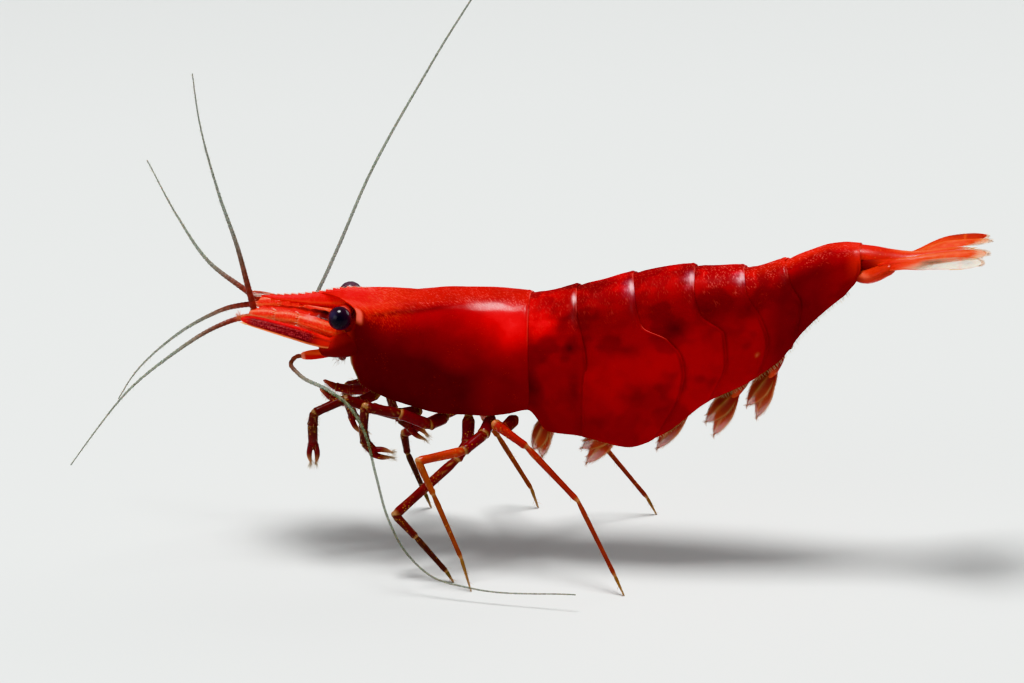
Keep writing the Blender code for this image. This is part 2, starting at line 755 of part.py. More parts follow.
def make_head(holder):
    finish(make_mouth("mouthparts"), "mouthparts", SHELL_DARK, 0.4, holder)
    feelers = {
        "left": (ANTENNULE_LEFT_UPPER, ANTENNULE_LEFT_LOWER, ANTENNA_LEFT),
        "right": (ANTENNULE_RIGHT_UPPER, ANTENNULE_RIGHT_LOWER, ANTENNA_RIGHT),
    }
    for word, side in (("left", -1), ("right", 1)):
        name = "eye_" + word
        finish(make_eye(name, side), name, EYE_BLACK, 0.08, holder)
        name = "antennule_base_" + word
        path = smooth_path(sided(ANTENNULE_BASE, side), 9)
        finish(tube(name, path, ANTENNULE_BASE_RADII, 10), name, HEAD_RED, 0.35, holder)
        name = "antenna_base_" + word
        path = smooth_path(sided(ANTENNA_BASE, side), 6)
        finish(tube(name, path, spread(ANTENNA_BASE_RADII, 6), 10), name, HEAD_RED, 0.35, holder)
        name = "antennal_scale_" + word
        leaf = blade(name, sided(SCALE_LINE, side), SCALE_HALF_WIDTHS, SCALE_THICK, (0, side, -SCALE_TILT), 9)
        finish(leaf, name, HEAD_RED, 0.35, holder)
        name = "maxilliped_" + word
        finish(make_limb(name, MAXILLIPED, MAXILLIPED_RADII, side, False), name, LIMB_RED, 0.4, holder)
        upper, lower, antenna = feelers[word]
        for name, line, count in (
            ("antennule_upper_" + word, upper, 20),
            ("antennule_lower_" + word, lower, 20),
            ("antenna_" + word, antenna, 36),
        ):
            finish(make_feeler(name, line, side, count), name, FEELER_TINT, 0.4, holder)


def make_legs(holder):
    for word, side, legs in (("left", -1, LEGS_LEFT), ("right", 1, LEGS_RIGHT)):
        for number, joints in legs.items():
            name = f"leg_{number}_{word}"
            if number <= 2:
                leg = make_clawed_leg(name, joints, side, CLAW_TIPS[word, number])
            else:
                leg = make_limb(name, joints, WALKING_RADII, side, True)
            finish(leg, name, LIMB_RED, 0.4, holder)
        for number, (root_x, length, slant) in enumerate(PLEOPODS, 1):
            name = f"pleopod_{number}_{word}"
            finish(make_pleopod(name, root_x, length, slant, side), name, SHELL_DARK, 0.45, holder)


def make_tail(holder):
    telson = blade("telson", TELSON_LINE, TELSON_HALF_WIDTHS, TELSON_THICK, (0, 1, 0), 9)
    finish(telson, "telson", SHELL_RED, 0.3, holder)
    for word, side in (("left", -1), ("right", 1)):
        name = "uropod_" + word
        finish(make_uropod(name, side), name, HEAD_RED, 0.35, holder)


def centre_on_floor(holder):
    """Moves the holder so that the whole box is centred on the origin and stands on z = 0."""
    bpy.context.view_layer.update()
    boxes = [[obj.matrix_world @ Vector(corner) for corner in obj.bound_box] for obj in holder.children]
    corners = np.array(boxes).reshape(-1, 3)
    low, high = corners.min(axis=0), corners.max(axis=0)
    holder.location = (-(low[0] + high[0]) / 2, -(low[1] + high[1]) / 2, -low[2])


def main():
    clear_scene()
    holder = bpy.data.objects.new("shrimp", None)
    bpy.context.scene.collection.objects.link(holder)
    make_body(holder)
    make_head(holder)
    make_legs(holder)
    make_tail(holder)
    centre_on_floor(holder)


main()
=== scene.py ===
import math

import bpy
import numpy as np
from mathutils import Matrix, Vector


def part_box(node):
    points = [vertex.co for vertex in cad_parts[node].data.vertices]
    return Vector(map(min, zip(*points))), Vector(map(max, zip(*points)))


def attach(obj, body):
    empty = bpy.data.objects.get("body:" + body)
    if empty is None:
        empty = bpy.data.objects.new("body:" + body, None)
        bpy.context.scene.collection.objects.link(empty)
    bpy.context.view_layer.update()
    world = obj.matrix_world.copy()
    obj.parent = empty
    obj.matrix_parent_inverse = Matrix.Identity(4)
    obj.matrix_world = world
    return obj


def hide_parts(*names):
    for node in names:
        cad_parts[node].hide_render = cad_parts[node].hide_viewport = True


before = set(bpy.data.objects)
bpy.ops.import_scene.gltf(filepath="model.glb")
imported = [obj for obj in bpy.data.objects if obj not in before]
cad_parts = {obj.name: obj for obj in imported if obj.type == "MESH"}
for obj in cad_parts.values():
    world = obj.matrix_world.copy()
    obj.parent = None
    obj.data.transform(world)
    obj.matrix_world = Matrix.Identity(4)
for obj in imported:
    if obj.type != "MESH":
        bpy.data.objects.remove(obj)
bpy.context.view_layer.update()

# The whole animal is measured in millimetres from the joint between carapace and tail, with the head
# towards -X, its left side towards -Y and the floor at height 0. The mouthparts' node tells where that
# joint lies in the frame.
MM = 0.001
MOUTH_MIDDLE = np.array([-8.02, 0.0, 8.52])
mouth_low, mouth_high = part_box("mouthparts")
BODY_JOINT = (np.array(mouth_low) + np.array(mouth_high)) / 2 - MOUTH_MIDDLE * MM

# The view: a long lens from the animal's left, a little from ahead of its middle and from above.
# The lens length gives the photograph's scale of 24 pixels to a millimetre.
LOOK_AT = np.array([-0.84, 0.0, 9.34])
VIEW_TURN, VIEW_RISE = math.radians(7), math.radians(20)
VIEW_DISTANCE = 0.280
SENSOR = 36.0
PIXELS_PER_MM, PICTURE_WIDTH = 24, 1024
NEAREST = 0.01
level = math.cos(VIEW_RISE)
forward = Vector((-math.sin(VIEW_TURN) * level, math.cos(VIEW_TURN) * level, -math.sin(VIEW_RISE)))
lens = bpy.data.cameras.new("view")
lens.sensor_width = SENSOR
lens.lens = SENSOR * VIEW_DISTANCE / (PICTURE_WIDTH / PIXELS_PER_MM * MM)
lens.clip_start = NEAREST
camera = bpy.data.objects.new("view", lens)
bpy.context.scene.collection.objects.link(camera)
camera.location = Vector(LOOK_AT * MM + BODY_JOINT) - forward * VIEW_DISTANCE
camera.rotation_mode = "QUATERNION"
camera.rotation_quaternion = forward.to_track_quat("-Z", "Y")
bpy.context.scene.camera = camera
bpy.context.scene.view_settings.view_transform = "Khronos PBR Neutral"

# The floor: a wide plain pale sheet that the feet stand on, under soft studio light. A broad lamp hangs
# above, a weaker one fills the near side, and a third lights the tail's far edge from behind.
FLOOR_HALF = 3.0
FLOOR_GREY = (0.62, 0.63, 0.62, 1)
STUDIO_GREY, STUDIO_STRENGTH = (0.80, 0.84, 0.86, 1), 0.25
LAMP_AIM = Vector((0, 0, 0.01))
# name, place and width in metres, watts
LAMPS = (
    ("key", (-0.035, -0.015, 0.30), 0.10, 1.0),
    ("fill", (-0.20, -0.22, 0.12), 0.20, 0.25),
    ("rim", (0.20, 0.16, 0.12), 0.16, 0.3),
)
corners = [(x * FLOOR_HALF, y * FLOOR_HALF, 0) for x, y in ((-1, -1), (1, -1), (1, 1), (-1, 1))]
floor_mesh = bpy.data.meshes.new("floor")
floor_mesh.from_pydata(corners, [], [(0, 1, 2, 3)])
floor = bpy.data.objects.new("floor", floor_mesh)
bpy.context.scene.collection.objects.link(floor)
floor_paint = bpy.data.materials.new("floor_paint")
floor_paint.use_nodes = True
floor_shader = floor_paint.node_tree.nodes["Principled BSDF"]
floor_shader.inputs["Base Color"].default_value = FLOOR_GREY
floor_shader.inputs["Roughness"].default_value = 0.8
floor_mesh.materials.append(floor_paint)

world = bpy.data.worlds.new("studio")
world.use_nodes = True
world.node_tree.nodes["Background"].inputs["Color"].default_value = STUDIO_GREY
world.node_tree.nodes["Background"].inputs["Strength"].default_value = STUDIO_STRENGTH
bpy.context.scene.world = world
for name, place, width, watts in LAMPS:
    lamp = bpy.data.lights.new(name, "AREA")
    lamp.size = width
    lamp.energy = watts
    lamp_object = bpy.data.objects.new(name, lamp)
    bpy.context.scene.collection.objects.link(lamp_object)
    lamp_object.location = place
    aim = LAMP_AIM - lamp_object.location
    lamp_object.rotation_mode = "QUATERNION"
    lamp_object.rotation_quaternion = aim.to_track_quat("-Z", "Y")


# The carapace: one thin glossy shell of chitin over head and chest, open below, red by the pigment cells
# under it. It is brightest towards the rostrum and dark maroon on the cheeks, partly its own colour and
# partly painted shade under the light from above. Its front edge is cut out round the eye.
def through(stations, at):
    """Smooth values through (place, value, ...) rows: cubics whose slope at a row is the harmonic mean of
    the slopes on either side of it."""
    table = np.array(stations, float)
    place, value = table[:, 0], table[:, 1:]
    step = np.diff(place)[:, None]
    slope = np.diff(value, axis=0) / step
    same = slope[:-1] * slope[1:] > 0
    inner = np.where(same, 2 * slope[:-1] * slope[1:] / np.where(same, slope[:-1] + slope[1:], 1), 0)
    tangent = np.vstack([slope[:1], inner, slope[-1:]])
    at = np.clip(np.asarray(at, float), place[0], place[-1])
    index = np.clip(np.searchsorted(place, at, side="right") - 1, 0, len(step) - 1)
    width = step[index, 0]
    share = ((at - place[index]) / width)[..., None]
    return cubic(value, tangent, index, width[..., None], share)


def cubic(value, tangent, index, width, share):
    """The cubic between rows index and index + 1 that has their values and their slopes."""
    return (
        (1 + 2 * share) * (1 - share) ** 2 * value[index]
        + share * (1 - share) ** 2 * width * tangent[index]
        + share**2 * (3 - 2 * share) * value[index + 1]
        - share**2 * (1 - share) * width * tangent[index + 1]
    )


def colour(red, green, blue):
    """A colour in the light the renderer counts in, from its usual 0 to 255 numbers."""
    part = np.array([red, green, blue]) / 255
    return np.where(part <= 0.04045, part / 12.92, ((part + 0.055) / 1.055) ** 2.4)


def ease(low, high, value):
    """0 below low, 1 above high, and a smooth S between them. It runs the other way where low is above
    high."""
    part = np.clip((value - low) / (high - low), 0, 1)
    return part * part * (3 - 2 * part)


def hump(value, middle, width):
    """A bell: e to the minus square of how many widths the value is from the middle."""
    return np.exp(-(((value - middle) / width) ** 2))


def patch(x, share, middle, size):
    """A soft oval on a shell: the product of a bell along x and a bell round the body."""
    return np.exp(-(((x - middle[0]) / size[0]) ** 2) - ((share - middle[1]) / size[1]) ** 2)


def blend(first, second, share):
    """first where share is 0, second where it is 1."""
    share = np.asarray(share)[..., None]
    return first * (1 - share) + second * share


def painted(tone, *coats):
    """The tone with coats of other colours over it, one after another: (colour, how much of it at each
    point)."""
    for paint, share in coats:
        tone = blend(tone, paint, share)
    return tone


def ripple(points, pitch, seed):
    """A soft random field between about -1 and 1: the sum of six sine waves of seeded directions and
    phases."""
    x, y, z = np.moveaxis(points, -1, 0)
    source = np.random.default_rng(seed)
    total = 0
    for _ in range(6):
        direction = source.normal(size=3)
        direction = direction / np.linalg.norm(direction) * 2 * math.pi / (pitch * source.uniform(0.7, 1.4))
        phase = source.uniform(0, 6.28)
        total = total + np.sin(direction[0] * x + direction[1] * y + direction[2] * z + phase)
    return total / 2.6


def grainy(shape, seed, thin=0.72):
    """Single pale grains of pigment: random numbers, all 0 but the highest ones."""
    return ease(thin, 0.97, np.random.default_rng(seed).random(shape))


def tinted(colours, alpha=0.0):
    """The colours with a fourth number: how clear a thin leaf is there, or how dull and dry a thick shell
    is."""
    alpha = np.broadcast_to(np.asarray(alpha, float), colours.shape[:-1])
    return np.concatenate([colours, alpha[..., None]], axis=-1)


def closed_skin(rings, tint):
    """A closed surface from a grid of rings (rows, around, 3), each end drawn to a pole at its ring's
    middle. Faces are turned outwards by the sign of the volume they enclose."""
    rows, around = rings.shape[:2]
    index = np.arange(rows * around).reshape(rows, around)
    beside = np.roll(index, -1, axis=1)
    quads = np.stack([index[:-1], beside[:-1], beside[1:], index[1:]], axis=-1).reshape(-1, 4)
    first_pole, last_pole = rows * around, rows * around + 1
    first_fan = np.stack([np.full(around, first_pole), beside[0], index[0]], axis=-1)
    last_fan = np.stack([np.full(around, last_pole), index[-1], beside[-1]], axis=-1)
    fans = np.vstack([first_fan, last_fan])
    points = np.vstack([rings.reshape(-1, 3), rings[0].mean(0), rings[-1].mean(0)])
    tint = np.broadcast_to(tint, rings.shape[:2] + (4,))
    tint = np.vstack([tint.reshape(-1, 4), tint[0].mean(0), tint[-1].mean(0)])
    corners = points[quads]
    turn = np.cross(corners[:, 2] - corners[:, 0], corners[:, 3] - corners[:, 1])
    if (turn * (corners.mean(1) - points.mean(0))).sum() < 0:
        quads, fans = quads[:, ::-1], fans[:, ::-1]
    return {"points": points, "faces": [quads, fans], "tint": tint}


def make_piece(name, skins, material):
    """One object of several closed surfaces. Each point carries its tint as the attribute the materials
    read."""
    points = np.vstack([skin["points"] for skin in skins])
    tint = np.vstack([skin["tint"] for skin in skins])
    starts = np.cumsum([0] + [len(skin["points"]) for skin in skins])
    faces = []
    for skin, start in zip(skins, starts):
        for group in skin["faces"]:
            faces += (group + start).tolist()
    mesh = bpy.data.meshes.new(name)
    mesh.from_pydata((points * MM + BODY_JOINT).tolist(), [], faces)
    stored = mesh.attributes.new("tint", "FLOAT_COLOR", "POINT")
    stored.data.foreach_set("color", tint.astype(np.float32).ravel())
    mesh.polygons.foreach_set("use_smooth", np.ones(len(faces), bool))
    mesh.materials.append(material)
    mesh.update()
    made = bpy.data.objects.new(name, mesh)
    bpy.context.scene.collection.objects.link(made)
    return made


# what the pigment's cloudy patches darken the chitin to, and how far light reaches inside the skin
CLOUD_SHADE = (0.34, 0.20, 0.22, 1)
GLOW_REACH, GLOW_DEPTH = (1.0, 0.25, 0.15), 0.3
# cells, pits and bumps to a millimetre, and how high the bumps are
CELL_PITCH, PIT_PITCH, BUMP_PITCH, BUMP_HEIGHT = 9, 14, 5.5, 0.02


def shell_material(
    name,
    gloss,
    mottle=0.0,
    speckle=0.0,
    bump=0.3,
    soft=0.15,
    pitch=0.9,
    clear_share=0.0,
    speckle_colour=(250, 170, 120),
):
    """Wet chitin: the tint attribute darkened in cloudy patches and dusted with pale pigment cells, a
    pitted bump, light that enters the skin a little way, and a thin clear coat. The tint's alpha is how
    much light the thin leaves let by, where clear_share is given; on the thick shells it is how dull and
    dry their skin is."""
    made = bpy.data.materials.new(name)
    made.use_nodes = True
    nodes, links = made.node_tree.nodes, made.node_tree.links
    shader = nodes["Principled BSDF"]
    place = nodes.new("ShaderNodeTexCoord")
    tint = nodes.new("ShaderNodeAttribute")
    tint.attribute_name = "tint"

    def noise(scale, detail):
        """A cloudy field of the given grains to a millimetre."""
        node = nodes.new("ShaderNodeTexNoise")
        node.inputs["Scale"].default_value = scale / MM
        node.inputs["Detail"].default_value = detail
        node.inputs["Roughness"].default_value = 0.6
        links.new(place.outputs["Object"], node.inputs["Vector"])
        return node.outputs["Fac"]

    def cells(scale):
        """The distance to the nearest of scattered points, so many to a millimetre."""
        node = nodes.new("ShaderNodeTexVoronoi")
        node.inputs["Scale"].default_value = scale / MM
        links.new(place.outputs["Object"], node.inputs["Vector"])
        return node.outputs["Distance"]

    def ranged(value, low, high, to_low, to_high):
        """The value carried from low and high to to_low and to_high by a smooth S."""
        node = nodes.new("ShaderNodeMapRange")
        node.interpolation_type = "SMOOTHSTEP"
        node.inputs["From Min"].default_value = low
        node.inputs["From Max"].default_value = high
        node.inputs["To Min"].default_value = to_low
        node.inputs["To Max"].default_value = to_high
        links.new(value, node.inputs["Value"])
        return node.outputs["Result"]

    def counted(operation, first, second):
        """The sum or the product of two values."""
        node = nodes.new("ShaderNodeMath")
        node.operation = operation
        links.new(first, node.inputs[0])
        links.new(second, node.inputs[1])
        return node.outputs[0]

    def mixed(kind, factor, first, second):
        """The first colour with the second over it, or multiplied into it, by the factor."""
        node = nodes.new("ShaderNodeMix")
        node.data_type = "RGBA"
        node.blend_type = kind
        links.new(factor, node.inputs[0])
        links.new(first, node.inputs[6])
        node.inputs[7].default_value = second
        return node.outputs[2]

    clouds = ranged(noise(pitch, 5), 0.40, 0.66, 0, mottle)
    shade = mixed("MULTIPLY", clouds, tint.outputs["Color"], CLOUD_SHADE)
    dots = ranged(cells(CELL_PITCH), 0.10, 0.30, 1, 0)
    dusting = counted("MULTIPLY", dots, ranged(noise(1.7, 3), 0.50, 0.64, 0, speckle))
    base = mixed("MIX", dusting, shade, tuple(colour(*speckle_colour)) + (1,))
    links.new(base, shader.inputs["Base Color"])
    rough = ranged(noise(2.6, 3), 0.3, 0.7, gloss, gloss + 0.16)
    relief = counted("ADD", ranged(cells(PIT_PITCH), 0.0, 0.35, 0, 0.35), noise(BUMP_PITCH, 4))
    bumps = nodes.new("ShaderNodeBump")
    bumps.inputs["Strength"].default_value = bump
    bumps.inputs["Distance"].default_value = BUMP_HEIGHT * MM
    links.new(relief, bumps.inputs["Height"])
    links.new(bumps.outputs["Normal"], shader.inputs["Normal"])
    shader.inputs["Subsurface Weight"].default_value = soft
    shader.inputs["Subsurface Radius"].default_value = GLOW_REACH
    shader.inputs["Subsurface Scale"].default_value = GLOW_DEPTH * MM
    shader.inputs["Coat IOR"].default_value = 1.35
    shader.inputs["Coat Roughness"].default_value = 0.14
    if clear_share:
        links.new(ranged(tint.outputs["Alpha"], 0.0, 1.0, 1.0, 1.0 - clear_share), shader.inputs["Alpha"])
        links.new(rough, shader.inputs["Roughness"])
        shader.inputs["Specular IOR Level"].default_value = 0.20
        shader.inputs["Coat Weight"].default_value = 0.16
    else:
        duller = nodes.new("ShaderNodeMath")
        duller.operation = "MULTIPLY_ADD"
        links.new(tint.outputs["Alpha"], duller.inputs[0])
        duller.inputs[1].default_value = 0.22
        links.new(rough, duller.inputs[2])
        links.new(duller.outputs[0], shader.inputs["Roughness"])
        links.new(ranged(tint.outputs["Alpha"], 0, 1, 0.24, 0.05), shader.inputs["Specular IOR Level"])
        links.new(ranged(tint.outputs["Alpha"], 0, 1, 0.30, 0.0), shader.inputs["Coat Weight"])
    return made


# x, top, widest height, lower edge, half width, half width at the edge
BODY_STATIONS = (
    (-9.2, 11.10, 10.72, 10.30, 0.17, 0.14),
    (-8.5, 11.24, 10.40, 9.20, 0.48, 0.36),
    (-7.6, 11.38, 9.90, 7.95, 1.20, 0.85),
    (-6.5, 11.40, 9.50, 7.28, 1.55, 1.20),
    (-5.2, 11.38, 9.25, 6.90, 1.80, 1.42),
    (-3.6, 11.52, 9.15, 6.62, 1.93, 1.60),
    (-2.0, 11.60, 9.15, 6.60, 1.95, 1.65),
    (-0.8, 11.55, 9.20, 6.75, 1.92, 1.66),
    (0.0, 11.48, 9.20, 6.95, 1.88, 1.66),
    (0.9, 11.60, 9.10, 6.05, 1.90, 1.68),
    (2.3, 11.98, 9.20, 5.90, 1.97, 1.70),
    (4.2, 12.50, 9.40, 5.50, 2.00, 1.68),
    (5.8, 12.88, 9.90, 6.20, 1.92, 1.60),
    (7.4, 12.97, 10.50, 7.50, 1.75, 1.42),
    (9.0, 12.99, 11.00, 8.35, 1.54, 1.25),
    (10.4, 13.35, 11.60, 9.35, 1.28, 1.02),
    (11.4, 13.80, 12.30, 10.65, 1.08, 0.85),
    (12.5, 14.20, 13.10, 11.75, 0.97, 0.72),
    (13.8, 14.32, 13.50, 12.80, 0.86, 0.60),
)
# x, depth of the hollow between the side plates
BODY_HOLLOW = (
    (-7.6, 0.25), (-0.4, 0.35), (1.0, 0.7), (3.0, 1.2), (5.5, 1.1), (7.3, 0.4), (8.2, 0.1), (13.8, 0.1),
)
# the plates' edges. Share of the way from the back line to the lower edge, x
PLATE_EDGES = {
    "carapace_front": (
        (0, -9.05), (0.08, -8.75), (0.15, -8.3), (0.20, -7.85), (0.245, -7.45), (0.275, -7.28),
        (0.31, -7.22), (0.36, -7.22), (0.43, -7.30), (0.48, -7.48), (0.51, -7.62), (0.55, -7.46),
        (0.8, -7.5), (1, -7.15),
    ),
    "carapace": ((0, -0.05), (0.5, 0.05), (0.88, 0.10), (1, 0.0)),
    "abdomen_1": ((0, 1.88), (0.25, 2.05), (0.38, 2.33), (0.5, 2.5), (0.65, 2.42), (1, 2.35)),
    "abdomen_2": (
        (0, 4.2), (0.26, 4.5), (0.36, 4.8), (0.45, 5.85), (0.55, 6.4), (0.68, 6.58), (0.8, 6.42),
        (0.9, 5.95), (1, 5.3),
    ),
    "abdomen_3": ((0, 6.8), (0.2, 6.85), (0.36, 7.15), (0.52, 8.2), (0.75, 8.3), (1, 7.6)),
    "abdomen_4": ((0, 8.82), (0.25, 9.0), (0.5, 9.7), (0.75, 10.0), (1, 9.6)),
    "abdomen_5": ((0, 10.5), (0.3, 10.8), (0.6, 11.3), (1, 11.05)),
    "abdomen_6": ((0, 13.6), (0.5, 13.7), (0.85, 13.5), (1, 13.05)),
}
PLATE_GAP = 0.3
EDGE_THICK = 0.16
RIM_HEIGHT, SWELL_LENGTH = 0.085, 1.5
# how many rings a shell is made of, and points over its back and over the hollow in each
CARAPACE_ROWS, CARAPACE_ACROSS, HOLLOW_ACROSS = 210, 241, 41


def body_side(x, share):
    """Outward y and height z of the body's side: a quarter of an oval from the back line (share 0) to the
    widest height (share a half), then a wall that leans in towards the lower edge (share 1)."""
    top, widest, edge, half, edge_half = np.moveaxis(through(BODY_STATIONS, x), -1, 0)
    turn = np.minimum(share * 2, 1) * math.pi / 2
    down = np.maximum(share * 2 - 1, 0)
    y = half * np.sin(turn) ** 0.9 - (half - edge_half) * down**2
    z = widest + (top - widest) * np.cos(turn) - (widest - edge) * down
    return y, z


def plate(front, rear, rows, across, under, front_lift, rear_lift):
    """The closed ring of a shell plate, carried from its front edge to its rear edge. Going round a ring,
    the share runs over the back from one lower edge to the other, then over the hollow between the edges.
    front_lift and rear_lift give, for distance behind the front edge or before the rear edge and share, how
    far the shell stands out of the body's side. Returns the rings, and at each of their points the share,
    the side (-1, 1), and the distances behind the front edge and before the rear edge."""
    signed = np.linspace(-1, 1, across)
    back = np.cos(np.linspace(0, math.pi, under + 2)[1:-1])
    share = np.concatenate([np.abs(signed), np.ones(under)])
    side = np.concatenate([np.sign(signed), np.sign(back)])
    x_front = through(front, share)[:, 0]
    x_rear = through(rear, share)[:, 0]
    x = x_front + (x_rear - x_front) * np.linspace(0, 1, rows)[:, None]
    y, z = body_side(x, np.broadcast_to(share, x.shape))
    middle = (through(BODY_STATIONS, x)[..., 1]) * 0.9
    out = np.stack([y, z - middle], axis=-1)
    out = out / np.linalg.norm(out, axis=-1, keepdims=True)
    lift = front_lift(x - x_front, share) + rear_lift(x_rear - x, share)
    y = y + out[..., 0] * lift
    z = z + out[..., 1] * lift * (share < 0.98)
    rings = np.stack([x, y * side, z], axis=-1)
    depth = through(BODY_HOLLOW, x[:, -1:])[..., 0]
    edge_y, edge_z = y[:, across - 1 : across], z[:, across - 1 : across]
    rings[:, across:, 1] = (edge_y - EDGE_THICK) * back
    rings[:, across:, 2] = edge_z + depth * (1 - np.abs(back) ** 5) + 0.02
    share, side = np.broadcast_to(share, x.shape), np.broadcast_to(side, x.shape)
    return rings, share, side, x - x_front, x_rear - x


def plate_skin(rings, tint, depth):
    """The closed plate with each end drawn in by three narrower rings, set back into the body by up to
    depth."""
    def drawn(ring, inward, share):
        """The ring narrowed about its middle to the share of its size, and moved."""
        middle = ring.mean(0)
        return middle + (ring - middle) * share + inward

    back = np.array([depth, 0, 0])
    first, last = rings[0], rings[-1]
    rings = np.concatenate(
        [
            [drawn(first, back, 0.5), drawn(first, back * 0.6, 0.9), drawn(first, 0, 0.975)],
            rings,
            [drawn(last, 0, 0.975), drawn(last, -back * 0.6, 0.9), drawn(last, -back, 0.5)],
        ]
    )
    return closed_skin(rings, np.concatenate([tint[:1]] * 3 + [tint] + [tint[-1:]] * 3))


def rear_rim(distance, share):
    """The plate swells a little towards its hind margin, which is itself a low thickened fold."""
    swell = RIM_HEIGHT * ease(SWELL_LENGTH, 0.2, distance) * (1 - 0.55 * ease(0.16, 0.0, distance))
    return swell + 0.018 * hump(distance, 0.12, 0.09)


def carapace_rim(distance, share):
    """The carapace's own hind margin is lower and nearly flush with the tail."""
    return rear_rim(distance, share) * (0.12 + 0.38 * ease(0.42, 0.30, share))


def orbit_rim(distance, share):
    """A narrow rounded bead along the cut-out round the eye."""
    return 0.014 * hump(distance, 0.06, 0.06) * ease(0.12, 0.2, share) * ease(0.56, 0.46, share)


# how far the ends of the shells are drawn in under their neighbours, and how dull their skin is
CARAPACE_INSET, TAIL_INSET = 0.5, 0.4
CARAPACE_DULL, ROSTRUM_DULL = 0.92, 0.8
CARAPACE_RED = colour(166, 2, 3)
CARAPACE_BRIGHT = colour(226, 24, 10)
CARAPACE_MAROON_AND_SHADE = colour(84, 0, 2)
CARAPACE_GLOW = colour(238, 10, 6)
CARAPACE_BACK = colour(192, 32, 17)
CREASE_SHADE = colour(110, 1, 2)
GRAIN_PINK = colour(250, 120, 110)
GRAIN_ORANGE = colour(255, 104, 66)
GRAIN_RED = colour(255, 60, 36)
CORNER_PALE = colour(206, 190, 160)
MARGIN_HIGHLIGHT = colour(244, 104, 96)
ORBIT_HIGHLIGHT = colour(255, 120, 100)
BROW_ORANGE = colour(244, 50, 26)
CREST_RED = colour(200, 5, 3)
# x, share at which the groove behind the orbit runs
FOLD_LINE = ((-6.9, 0.27), (-6.08, 0.24), (-5.36, 0.2), (-4.36, 0.175), (-3.16, 0.16), (-2.0, 0.15))

edges = PLATE_EDGES["carapace_front"], PLATE_EDGES["carapace"]
size = CARAPACE_ROWS, CARAPACE_ACROSS, HOLLOW_ACROSS
rings, share, side, from_front, from_rear = plate(*edges, *size, orbit_rim, carapace_rim)
x = rings[..., 0].copy()
# a shallow groove runs back from the orbit, and low swellings lie behind the cheek
off_fold = share - through(FOLD_LINE, x)[..., 0]
fold = hump(off_fold, 0, 0.018) * ease(-7.2, -6.4, x) * ease(-2.9, -4.2, x)
cheek = hump(share, 0.62, 0.16) * ease(-7.4, -6.4, x) * ease(-2.6, -4.5, x)
neck = hump(x + 4.6 - 1.6 * (share - 0.3), 0, 0.22) * ease(0.75, 0.5, share)
waves = ripple(rings, 1.1, 3)
push = (-0.014 * fold + 0.05 * cheek - 0.02 * neck + 0.022 * waves) * ease(0.1, 0.9, from_rear)
rings[..., 1] += side * push * ease(-7.6, -7.2, x)
rings[..., 2] += push * ease(0.5, 0.1, share) * ease(-7.6, -7.2, x)

# the red darkens below, partly its own maroon and partly painted shade, glows at the hind shoulder, and is
# toned down where the light from above is strong
broad = ripple(rings, 2.6, 29)
low_maroon_and_shade = ease(0.34, 0.62, share + 0.02 * waves + 0.05 * broad + 0.026 * (-2.0 - x))
tone = painted(
    CARAPACE_RED,
    (CARAPACE_GLOW, patch(x, share, (-0.9, 0.30), (1.5, 0.13))),
    (CARAPACE_MAROON_AND_SHADE, low_maroon_and_shade * (1 - 0.38 * ease(-2.8, -1.4, x))),
    (CARAPACE_MAROON_AND_SHADE, 0.45 * ease(-3.5, -6.0, x) * ease(0.26, 0.40, share)),
)
tone = tone * (1 - 0.30 * hump(share, 0.36, 0.10) * ease(-6.2, -5.0, x) * ease(-0.7, -1.6, x))[..., None]
# a band of paler grains lies along the back and the brow over the orbit is orange. Painted shade lies in the
# groove behind the orbit, and pink grains on the shoulder are a painted highlight
back_band = ease(0.20, 0.10, share + 0.02 * waves + 0.012 * (x + 4))
brow = hump(share, 0.20, 0.07) * ease(-4.6, -6.6, x)
brow = np.maximum(brow, ease(-7.2, -7.8, x) * ease(0.06, 0.12, share))
shadow = hump(off_fold, 0.025, 0.022) * ease(-7.0, -6.2, x) * ease(-2.6, -4.0, x)
beside_fold = hump(off_fold, -0.015, 0.025) * ease(-6.0, -4.8, x) * ease(-2.0, -3.4, x)
grains = grainy(x.shape, 8)
tone = painted(
    tone,
    (CARAPACE_BACK, (0.8 - 0.3 * ease(-5.4, -3.6, x)) * back_band),
    (CARAPACE_BRIGHT, 0.75 * ease(-5.6, -7.2, x) * ease(0.36, 0.26, share)),
    (BROW_ORANGE, 0.55 * brow),
    # painted shade in the groove behind the orbit
    (CREASE_SHADE, 0.85 * shadow),
    (GRAIN_PINK, 0.4 * grains * beside_fold),
    # a painted highlight: pink grains over the shoulder
    (GRAIN_PINK, 0.5 * grains * patch(x, share, (-1.3, 0.15), (1.1, 0.05))),
    (GRAIN_PINK, 0.28 * grains * back_band),
    (GRAIN_ORANGE, 0.5 * grainy(x.shape, 10) * ease(-4.4, -6.6, x) * ease(0.34, 0.22, share)),
    (GRAIN_RED, 0.4 * grains * ease(-4.6, -6.2, x) * ease(0.42, 0.30, share)),
    (CREST_RED, 0.75 * ease(-5.7, -7.3, x) * ease(0.02, 0.06, share) * ease(0.215, 0.165, share)),
)
